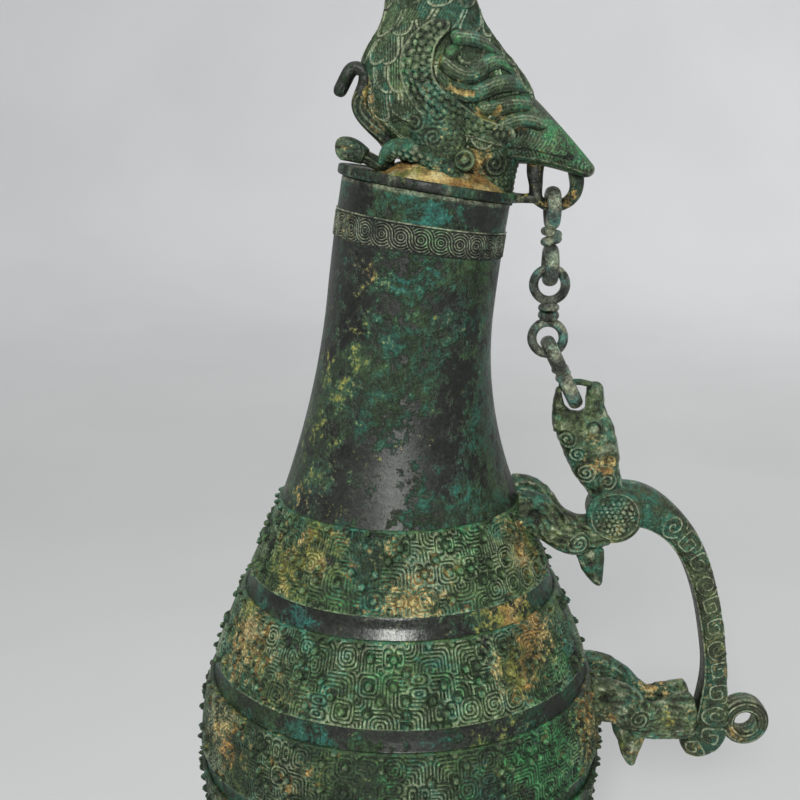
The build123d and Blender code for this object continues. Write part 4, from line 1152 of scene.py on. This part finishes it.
def make_bracket():
    """Bar under the tail: a bent round bar from the tail down, round below the chain's top wire and up to the
    tail's end, and a stub to the lid's rim, with a cast surface."""
    drop = LINK_WIRE + 2.2 + 0.3
    x, low = MOUTH_X + 39.6, CHAIN_TOP[1] - drop
    far = 2.0 * CHAIN_TOP[0] - x
    bar = [(x, 0, MOUTH_Z + 12, 3.6, 3.2), (x, 0, low + 6.5, 2.6, 2.5), (x + 1.2, 0, low + 1.5, 2.2, 2.2),
           (x + 3.6, 0, low, 2.1, 2.1), (far - 2.6, 0, low + 0.2, 2.1, 2.1),
           (far + 0.2, 0, low + 2.2, 2.2, 2.2), (MOUTH_X + 54, 0, MOUTH_Z + 9, 3.4, 2.8)]
    rim = lid_point(np.array(LID_RADIUS - 1.6), np.array(0.0), np.array(1.6))
    stub = [(rim[0], 0, rim[2], 2.0, 2.2), (0.5 * (rim[0] + x), 0, rim[2], 1.7, 1.8),
            (x, 0, rim[2], 2.2, 2.2)]

    def cast(p):
        value = 0.5 + 0.3 * uneven(p.points, seed=8, low=0.5, high=1.4)
        return 0.5 * (value - 0.5), np.clip(value, 0.0, 1.0)

    skins = [limb(bar, 120, 40, cast, earth=0.3, bare=0.2), limb(stub, 24, 32, cast, earth=0.2, bare=0.2)]
    finish = bronze("dark_bar_bronze", cover=0.58, hue=0.5, gloss=0.42, wear=0.4, tint=0.7, seed=53.0)
    make_piece("tail_bar", skins, "lid", ["tail_bracket"], finish)


def make_chain():
    """Chain links: two wire rings each, with hammered unevenness, joined by a waist with two slanting wraps
    of wire round it. The links seen from their edges have broader rings."""
    finish = bronze("chain_wire_bronze", cover=0.72, hue=0.5, gloss=0.3, wear=0.6, tint=1.5, seed=59.0,
                    green=(0.06, 0.066, 0.05), second=(0.04, 0.1, 0.082))
    for name, (top, end), turned_link in zip(("upper", "middle", "lower"), LINK_ENDS, (True, False, True)):
        start, stop = np.array((top[0], 0.0, top[1])), np.array((end[0], 0.0, end[1]))
        down = unit(stop - start)
        sideways = np.array((0.0, 1.0, 0.0)) if turned_link else np.cross((0.0, 1.0, 0.0), down)
        facing = np.cross(down, sideways)
        section = (LINK_WIRE - 0.1, LINK_WIRE + 0.6) if turned_link else (LINK_WIRE - 0.3, LINK_WIRE)

        def hammered(t, v, w, turn):
            value = 0.55 + 0.3 * ripple(t * LINK_LOOP, 2.0 * np.cos(turn), 2.0 * np.sin(turn), seed=len(name),
                                        low=0.4, high=1.3)
            return 0.16 * (value - 0.75), np.clip(value, 0.0, 1.0)

        skins = []
        for centre in (start + down * LINK_LOOP, stop - down * LINK_LOOP):
            skins.append(hoop(centre, down, sideways, LINK_LOOP, *section, 110, 36, pattern=hammered))
        wrap = 1.6 if name == "lower" else 2.3
        for place in (-1.4, 1.4):
            slant = unit(facing - 0.25 * np.sign(place) * down)
            skins.append(hoop(0.5 * (start + stop) + down * place, slant, sideways, wrap, 1.7, 1.6, 60, 28,
                              pattern=hammered))
        make_piece("twisted_link_" + name, skins, name + "_link", ["chain_link_" + name],
                   finish)


# Where earth and bright green gather on the beast: x, y, z, radius, amount
BEAST_EARTH = [(77, -9, 205, 8, 0.9), (73, -8, 213, 6, 0.5), (60, -10, 176, 8, 0.4), (82, -10, 176, 8, 0.45),
               (92, -10, 88, 9, 0.6), (112, -8, 82, 9, 0.7), (106, -8, 100, 7, 0.75), (79, -12, 104, 10, 0.8),
               (77, 9, 205, 8, 0.9), (92, 10, 88, 9, 0.6), (112, 8, 82, 9, 0.7), (79, 12, 104, 10, 0.8),
               (132, 0, 92, 6, 0.5), (124, -6, 122, 20, 0.35), (124, 6, 122, 20, 0.35), (104, 8, 106, 9, 0.8),
               (84, 12, 117, 9, 0.5)]
BEAST_BRIGHT = [(100, -8, 96, 12, 0.7), (84, -9, 196, 9, 0.35), (110, -6, 172, 16, 0.45),
                (95, -8, 76, 8, 0.5), (66, -10, 172, 8, 0.4), (76, 0, 230, 7, 0.6), (60, 0, 222, 6, 0.5),
                (100, 8, 96, 12, 0.7), (110, 6, 172, 16, 0.45), (66, 10, 172, 8, 0.4)]


def beast_finish(name, seed, **changes):
    """Grey-green to olive bronze with pale lines."""
    settings = dict(cover=0.8, hue=0.48, gloss=0.3, wear=0.85, recess_shade=0.9, tint=1.5,
                    green=(0.055, 0.078, 0.032), bright=(0.035, 0.16, 0.1))
    return bronze(name, seed=seed, **{**settings, **changes})


def beast_layers():
    """Earth and bright crust of the handle."""
    return dict(earth=lambda p: 0.75 * spots(p, BEAST_EARTH), bright=lambda p: 0.75 * spots(p, BEAST_BRIGHT))


def make_beast_back():
    """Beast's arched back: an oval carried along its line, with squared spirals between two border lines on
    each side, and the shoulder disc, with a double rim round a field of grains."""
    depth = bpy.context.scene.vessel_ornament.scroll_depth / MM

    def scrolls(p):
        cell = 9.2
        i = np.round(p.s / cell)
        off = (p.s - i * cell) / (0.5 * cell)
        level = (p.v + 0.6) / np.maximum(p.half[..., 0], 4.0) / 0.9
        square = whorl(off, level, 0.5, 5.0, 1.0)
        hook = whorl(off, -level, 0.5, 3.2, -1.0)
        round_curl = whorl(off, level, 0.5, 2.0, -1.0)
        key = np.where(np.mod(i, 3.0) == 0.0, round_curl, np.where(np.mod(i, 3.0) == 1.0, square, hook))
        key = 0.32 + 0.66 * fade(key, 0.78, 0.97)
        key = np.where((np.abs(off) > 0.94) | (np.abs(level) > 0.95), 0.3, key)
        key = 0.4 + (key - 0.4) * fade(p.s, 22.0, 26.0)
        flat = np.abs(p.w) > 0.6 * p.half[..., 1]
        rim = np.abs(p.v / p.half[..., 0] - 0.88) < 0.05
        # On the back's narrow edges the inner one, towards the vessel, is painted dark as shade, and the
        # outer one stays middling.
        value = np.where(flat, np.where(rim, 0.85, key), np.where(p.v > 0.0, 0.12, 0.4))
        return depth * (value - 0.4), value

    back = limb(BACK, 420, 130, scrolls, square=3.0, ends=(2.0, 3.0), **beast_layers())

    def grains(radius, angle, up):
        x, z = radius * np.cos(angle), radius * np.sin(angle)
        shift = 0.35 * ripple(x, z, seed=62, low=0.5, high=1.3)
        field = granules(x + shift, z - shift, 2.05)
        line = bell((radius - 9.0) / 0.35)
        value = np.where(radius < 7.6, 0.1 + 0.8 * field, 0.35 + 0.5 * line)
        face = (np.abs(up) > DISC_HALF - 0.6) & (radius < 10.0)
        return np.sign(up) * np.where(face, 0.7 * (value - 0.6), 0.0), np.where(face, value, 0.45)

    face_r = np.linspace(0.3, 9.4, 50)
    edge = [(10.2, DISC_HALF - 0.2), (10.7, DISC_HALF - 0.7), (11.0, DISC_HALF - 1.6)]
    profile = [(0.84 * r, DISC_HALF) for r in face_r] + [(0.84 * r, y) for r, y in edge]
    profile += [(8.6, 0.0), (9.0, 3.0 - DISC_HALF)] + [(r, -y) for r, y in edge[::-1]]
    profile += [(r, -DISC_HALF) for r in face_r[::-1]]

    def on_disc(r, a, up):
        return np.stack([DISC_CENTRE[0] + r * np.cos(a), up, DISC_CENTRE[1] + r * np.sin(a)], axis=-1)

    disc = turned(profile, 150, on_disc, grains, **beast_layers())
    make_piece("arched_back", [back, disc], "vessel", ["handle_back"],
               beast_finish("scrolled_bronze", 61.0))


def make_beast_head():
    """Beast's head: a neck and skull of level ovals with spirals on its cheeks, jaw and snout round the open
    mouth, ringed eyes, ears with two hollows, and a curl on the snout."""
    spirals = [(62.9, 213.2, 3.6, 1.0), (70.2, 200.3, 4.2, -1.0), (78.4, 197.0, 3.6, 1.0),
               (66.8, 207.4, 3.0, -1.0), (78.0, 189.5, 3.4, -1.0)]

    def cheeks(p):
        value = 0.45 + 0.24 * uneven(p.points, seed=51, low=0.8, high=2.8, waves=30)
        for x, z, reach, hand in spirals:
            near = np.hypot(p.x - x, p.z - z)
            value = np.where(near < reach, 0.15 + 0.75 * whorl(p.x - x, p.z - z, 1.7, 2.0, hand), value)
        return 0.7 * (value - 0.5), value

    def lumps(p):
        value = 0.48 + 0.24 * uneven(p.points, seed=52, low=0.8, high=2.8, waves=30)
        return 0.5 * (value - 0.55), value

    def eyeball(x, z):
        r = np.hypot(x - 72.8, z - 217.0)
        groove = bell((r - 2.6) / 0.5)
        return 1.3 * dome((r / 2.2) ** 2) - 0.7 * groove, 0.75 - 0.7 * groove

    def hollows(x, z):
        first, second = np.hypot(x - 72.6, z - 206.1), np.hypot(x - 78.7, z - 205.7)
        dip = np.maximum(bell(first / 1.5), bell(second / 1.9))
        return 0.6 - 2.2 * dip, 0.7 - 0.65 * dip

    layers = beast_layers()
    lip = [(60.2, 0, 229.5, 1.2, 2.2), (61.4, 0, 224.2, 1.6, 2.8), (64.6, 0, 221.4, 1.8, 3.2),
           (68.8, 0, 221.2, 1.8, 3.2), (72.0, 0, 223.8, 1.7, 2.9), (73.0, 0, 229.0, 1.3, 2.4)]
    skins = [stack(SKULL, 130, 190, cheeks, square=2.4, **layers), limb(lip, 70, 48, lumps, **layers),
             limb(JAW, 60, 56, lumps, ends=(0.0, 2.0), **layers),
             limb(SNOUT, 70, 60, lumps, ends=(0.0, 2.8), **layers)]
    ear = [(69.9, 207.0), (74.1, 210.2), (79.7, 211.8), (83.0, 207.4), (82.5, 203.5), (78.8, 202.3),
           (74.4, 202.9)]
    for _, side in SIDES:
        skins.append(plate(circle(72.8, 217.0, 3.7), 30, 70, lambda x, z: 5.4 + 0.0 * x, 1.1, side, eyeball,
                           sink=2.4, edge=0.3, **layers))
        skins.append(plate(ear, 34, 90, lambda x, z: 8.4 - 0.25 * np.maximum(x - 77.0, 0.0), 1.0, side,
                           hollows, sink=2.4, edge=0.3, **layers))
    make_piece("beast_head_and_jaws", skins, "vessel", ["beast_head"],
               beast_finish("beast_head_bronze", 67.0))


def make_mouth_bar():
    """Bar across the beast's mouth: a round bar bent over the mouth's opening."""
    skin = limb(MOUTH_BAR, 60, 32, None, ends=(1.0, 1.0), bare=0.4)
    make_piece("mouth_ring_bar", [skin], "vessel", ["mouth_bar"],
               beast_finish("mouth_bar_bronze", 71.0, tint=1.1))


def make_beast_legs():
    """Beast's legs: an oval carried from the body to a paw on the wall, with soft long lines, a spiral at the
    joint and a deep hollow in the paw, and a leaf-shaped elbow or hock below."""
    finish = beast_finish("beast_leg_bronze", 73.0)
    layers = beast_layers()

    def leg(joint, side, dip_s, dip_v, dip_size):
        def scrolls(p):
            grain = uneven(p.points, seed=21, low=0.6, high=2.6, waves=30)
            near = np.hypot(p.s - joint, p.v)
            folds = lines(p.v + 1.4 * np.sin(p.s * 0.3) + 0.5 * grain, 2.6)
            body = 0.48 + 0.16 * grain + 0.4 * (folds - 0.5)
            value = np.where(near < 4.4, 0.15 + 0.7 * whorl(p.s - joint, p.v, 1.9), np.clip(body, 0.1, 0.95))
            # The paw's hollow is sunk and painted dark, as painted shade.
            dip = np.exp(-(((p.length - p.s - dip_s) / dip_size) ** 2 + ((p.v - dip_v) / dip_size) ** 2))
            dip = dip * (p.w * side > 0.0)
            return 0.7 * (value - 0.5) * (1.0 - dip) - 2.4 * dip, value * (1.0 - 0.9 * dip)
        return scrolls

    def vein(p):
        grain = uneven(p.points, seed=22, low=0.6, high=2.6, waves=30)
        value = np.clip(0.5 + 0.2 * grain + 0.3 * bell(p.v / 0.5), 0.0, 1.0)
        return 0.5 * (value - 0.5), value

    for name, side in SIDES:
        front = [limb(FRONT_LEG, 190, 96, leg(16.0, side, 7.0, 1.0, 3.2), side, 2.4, (3.0, 1.0), **layers),
                 limb(ELBOW, 70, 64, vein, side, 2.2, (3.0, 1.5), **layers)]
        hind = [limb(HIND_LEG, 190, 96, leg(26.0, side, 5.0, 3.0, 2.2), side, 2.4, (3.0, 1.0), **layers),
                limb(HOCK, 70, 64, vein, side, 2.2, (3.0, 1.5), **layers)]
        make_piece("front_leg_and_paw_" + name, front, "vessel", ["front_leg_" + name],
                   finish)
        make_piece("hind_leg_and_paw_" + name, hind, "vessel", ["hind_leg_" + name], finish)


def make_tail_loop():
    """Beast's tail curled into a loop: a ring of rounded square section with grooves round its faces."""
    radius, thick = 0.5 * (LOOP_OUTER + LOOP_EYE), 0.5 * (LOOP_OUTER - LOOP_EYE)

    def grooves(t, v, w, turn):
        face = np.abs(w) > 0.75 * LOOP_HALF
        value = np.where(face, 0.1 + 0.85 * lines(v, 1.45), 0.5 + 0.35 * lines(w, 3.3))
        return 0.4 * (value - 0.8), value

    centre = (LOOP_CENTRE[0], 0.0, LOOP_CENTRE[1])
    soil = [(134, -4, 90, 6, 0.6), (134, 4, 90, 6, 0.6)]
    skin = hoop(centre, (1, 0, 0), (0, 0, 1), radius, thick, LOOP_HALF, 170, 90, 3.6, grooves,
                earth=lambda p: spots(p, soil))
    finish = beast_finish("tail_loop_bronze", 79.0, green=(0.075, 0.095, 0.045))
    make_piece("curled_tail", [skin], "vessel", ["tail_loop"], finish)


def make_ground():
    """Floor: rings that lie flat, then rise in a quarter round to a plain wall, open above."""
    stage = bpy.context.scene.vessel_stage
    flat = [(r, 0.0) for r in np.linspace(20.0, FLOOR_FLAT, 24)]
    bend = np.linspace(0.06, 0.5 * np.pi, 24)
    rise = [(FLOOR_FLAT + FLOOR_ROUND * math.sin(t), FLOOR_ROUND - FLOOR_ROUND * math.cos(t)) for t in bend]
    profile = np.asarray(flat + rise + [(FLOOR_FLAT + FLOOR_ROUND, FLOOR_ROUND + FLOOR_WALL)]) * MM
    angle = full_turn(96)
    loops = np.stack([profile[:, :1] * np.cos(angle), profile[:, :1] * np.sin(angle),
                      profile[:, 1:] + 0.0 * angle], axis=-1)
    count, around = loops.shape[:2]
    index = np.arange(count * around).reshape(count, around)
    beside = np.roll(index, -1, axis=1)
    quads = np.stack([index[:-1], index[1:], beside[1:], beside[:-1]], axis=-1).reshape(-1, 4)
    middle = np.stack([index[0], beside[0], np.full(around, count * around)], axis=-1)
    mesh = bpy.data.meshes.new("studio_ground")
    points = np.concatenate([loops.reshape(-1, 3), [(0.0, 0.0, 0.0)]])
    mesh.from_pydata(points.tolist(), [], quads.tolist() + middle.tolist())
    mesh.polygons.foreach_set("use_smooth", np.ones(len(mesh.polygons), bool))
    weave = Weave("pale_paper")
    reach = weave.node("VectorMath", {0: weave.where}, "Value", operation="LENGTH")
    paper = weave.mix(weave.step(reach, 0.5, 2.0), tuple(stage.floor), tuple(stage.backdrop))
    # Painted light on the paper: it darkens by a tenth towards the left side.
    side = weave.step(weave.node("SeparateXYZ", {0: weave.where}, "X"), -0.9, 0.7, 0.9, 1.0)
    paper = weave.scaled(paper, weave.times(side, weave.between(weave.cloud(3.0, 3.0, 0.5, 2.0), 0.97, 1.03)))
    weave.put(paper, weave.shader.inputs["Base Color"])
    weave.shader.inputs["Roughness"].default_value = 0.85
    mesh.materials.append(weave.material)
    ground = bpy.data.objects.new("studio_ground", mesh)
    bpy.context.scene.collection.objects.link(ground)


def make_lamp(name, place, aim, size, power):
    """Square area lamp at a place, turned towards a point."""
    lamp = bpy.data.lights.new(name, "AREA")
    lamp.energy = power
    lamp.size = size
    holder = bpy.data.objects.new(name, lamp)
    bpy.context.scene.collection.objects.link(holder)
    way = np.asarray(aim, float) - np.asarray(place, float)
    holder.location = place
    holder.rotation_euler = (math.atan2(math.hypot(way[0], way[1]), -way[2]), 0.0,
                             math.atan2(-way[0], way[1]))


def make_stage():
    """Ground, sky, three lamps and the camera at the photograph's place."""
    scene = bpy.context.scene
    stage = scene.vessel_stage
    make_ground()
    world = bpy.data.worlds.new("studio_sky")
    scene.world = world
    world.use_nodes = True
    sky = world.node_tree.nodes["Background"]
    sky.inputs["Color"].default_value = (0.98, 0.99, 1.0, 1.0)
    sky.inputs["Strength"].default_value = stage.sky
    make_lamp("camera_side_softbox", (-0.06, -0.85, 0.57), (0.0, 0.0, 0.2), 0.22, stage.key_power)
    make_lamp("left_softbox", (-1.0, -0.8, 1.25), (0.0, 0.0, 0.18), 0.7, stage.side_power)
    make_lamp("overhead_softbox", (0.35, 0.6, 1.9), (0.35, 0.6, 0.0), 1.8, stage.top_power)
    camera = bpy.data.cameras.new("photo_camera")
    camera.sensor_width = CAMERA_SENSOR
    camera.lens = CAMERA_LENS
    holder = bpy.data.objects.new("photo_camera", camera)
    scene.collection.objects.link(holder)
    holder.location = CAMERA_PLACE
    holder.rotation_euler = (math.radians(90.0 - CAMERA_DOWN), 0.0, 0.0)
    scene.camera = holder
    scene.view_settings.view_transform = "Standard"


class VESSEL_OT_wall(bpy.types.Operator):
    """Adds the gourd wall with its lip"""
    bl_idname = "vessel.wall"
    bl_label = "Vessel wall"

    def execute(self, context):
        make_wall()
        return {"FINISHED"}


class VESSEL_OT_bands(bpy.types.Operator):
    """Adds the four cast bands of the belly"""
    bl_idname = "vessel.bands"
    bl_label = "Ornament bands"

    def execute(self, context):
        make_bands()
        return {"FINISHED"}


class VESSEL_OT_rope_band(bpy.types.Operator):
    """Adds the rope band under the mouth"""
    bl_idname = "vessel.rope_band"
    bl_label = "Rope band"

    def execute(self, context):
        make_rope_band()
        return {"FINISHED"}


class VESSEL_OT_foot(bpy.types.Operator):
    """Adds the ring foot"""
    bl_idname = "vessel.foot"
    bl_label = "Ring foot"

    def execute(self, context):
        make_foot()
        return {"FINISHED"}


class VESSEL_OT_lid(bpy.types.Operator):
    """Adds the lid plate with its spigot"""
    bl_idname = "vessel.lid"
    bl_label = "Lid plate"

    def execute(self, context):
        make_lid()
        return {"FINISHED"}


class VESSEL_OT_bird_body(bpy.types.Operator):
    """Adds the bird's torso and tail"""
    bl_idname = "vessel.bird_body"
    bl_label = "Bird body"

    def execute(self, context):
        make_bird_body()
        return {"FINISHED"}


class VESSEL_OT_bird_head(bpy.types.Operator):
    """Adds the bird's head and beak"""
    bl_idname = "vessel.bird_head"
    bl_label = "Bird head"

    def execute(self, context):
        make_bird_head()
        return {"FINISHED"}


class VESSEL_OT_wings(bpy.types.Operator):
    """Adds both wings"""
    bl_idname = "vessel.wings"
    bl_label = "Wings"

    def execute(self, context):
        make_wings()
        return {"FINISHED"}


class VESSEL_OT_bird_legs(bpy.types.Operator):
    """Adds the bird's legs with their claws"""
    bl_idname = "vessel.bird_legs"
    bl_label = "Bird legs"

    def execute(self, context):
        make_bird_legs()
        return {"FINISHED"}


class VESSEL_OT_snakes(bpy.types.Operator):
    """Adds the two snakes"""
    bl_idname = "vessel.snakes"
    bl_label = "Snakes"

    def execute(self, context):
        make_snakes()
        return {"FINISHED"}


class VESSEL_OT_bracket(bpy.types.Operator):
    """Adds the bar under the tail"""
    bl_idname = "vessel.bracket"
    bl_label = "Tail bar"

    def execute(self, context):
        make_bracket()
        return {"FINISHED"}


class VESSEL_OT_chain(bpy.types.Operator):
    """Adds the three chain links"""
    bl_idname = "vessel.chain"
    bl_label = "Chain"

    def execute(self, context):
        make_chain()
        return {"FINISHED"}


class VESSEL_OT_beast_back(bpy.types.Operator):
    """Adds the beast's arched back"""
    bl_idname = "vessel.beast_back"
    bl_label = "Beast back"

    def execute(self, context):
        make_beast_back()
        return {"FINISHED"}


class VESSEL_OT_beast_head(bpy.types.Operator):
    """Adds the beast's head and the bar across its mouth"""
    bl_idname = "vessel.beast_head"
    bl_label = "Beast head"

    def execute(self, context):
        make_beast_head()
        make_mouth_bar()
        return {"FINISHED"}


class VESSEL_OT_beast_legs(bpy.types.Operator):
    """Adds the beast's four legs"""
    bl_idname = "vessel.beast_legs"
    bl_label = "Beast legs"

    def execute(self, context):
        make_beast_legs()
        return {"FINISHED"}


class VESSEL_OT_tail_loop(bpy.types.Operator):
    """Adds the beast's curled tail"""
    bl_idname = "vessel.tail_loop"
    bl_label = "Curled tail"

    def execute(self, context):
        make_tail_loop()
        return {"FINISHED"}


class VESSEL_OT_stage(bpy.types.Operator):
    """Adds the ground, the light and the camera"""
    bl_idname = "vessel.stage"
    bl_label = "Stage"

    def execute(self, context):
        make_stage()
        return {"FINISHED"}


OPERATORS = (VESSEL_OT_wall, VESSEL_OT_bands, VESSEL_OT_rope_band, VESSEL_OT_foot, VESSEL_OT_lid,
             VESSEL_OT_bird_body, VESSEL_OT_bird_head, VESSEL_OT_wings, VESSEL_OT_bird_legs, VESSEL_OT_snakes,
             VESSEL_OT_bracket, VESSEL_OT_chain, VESSEL_OT_beast_back, VESSEL_OT_beast_head,
             VESSEL_OT_beast_legs, VESSEL_OT_tail_loop, VESSEL_OT_stage)


class VESSEL_PT_pieces(bpy.types.Panel):
    """Lists the vessel's pieces and settings"""
    bl_idname = "VESSEL_PT_pieces"
    bl_label = "Bronze gourd vessel"
    bl_space_type = "VIEW_3D"
    bl_region_type = "UI"
    bl_category = "Vessel"

    def draw(self, context):
        for operator in OPERATORS:
            self.layout.operator(operator.bl_idname)
        for group in (context.scene.vessel_finish, context.scene.vessel_ornament, context.scene.vessel_stage):
            box = self.layout.box()
            for key in group.bl_rna.properties.keys():
                if key not in ("rna_type", "name"):
                    box.prop(group, key)


SETTINGS = (("vessel_finish", FinishSettings), ("vessel_ornament", OrnamentSettings),
            ("vessel_stage", StageSettings))


def register():
    """Registers the settings, the operators and the panel."""
    for key, group in SETTINGS:
        bpy.utils.register_class(group)
        setattr(bpy.types.Scene, key, bpy.props.PointerProperty(type=group))
    for operator in OPERATORS:
        bpy.utils.register_class(operator)
    bpy.utils.register_class(VESSEL_PT_pieces)


def unregister():
    """Takes back what register added."""
    bpy.utils.unregister_class(VESSEL_PT_pieces)
    for operator in reversed(OPERATORS):
        bpy.utils.unregister_class(operator)
    for key, group in reversed(SETTINGS):
        delattr(bpy.types.Scene, key)
        bpy.utils.unregister_class(group)


def main():
    """Builds the vessel and the stage."""
    register()
    bpy.ops.vessel.wall()
    bpy.ops.vessel.bands()
    bpy.ops.vessel.rope_band()
    bpy.ops.vessel.foot()
    bpy.ops.vessel.lid()
    bpy.ops.vessel.bird_body()
    bpy.ops.vessel.bird_head()
    bpy.ops.vessel.wings()
    bpy.ops.vessel.bird_legs()
    bpy.ops.vessel.snakes()
    bpy.ops.vessel.bracket()
    bpy.ops.vessel.chain()
    bpy.ops.vessel.beast_back()
    bpy.ops.vessel.beast_head()
    bpy.ops.vessel.beast_legs()
    bpy.ops.vessel.tail_loop()
    bpy.ops.vessel.stage()


if __name__ == "__main__":
    main()
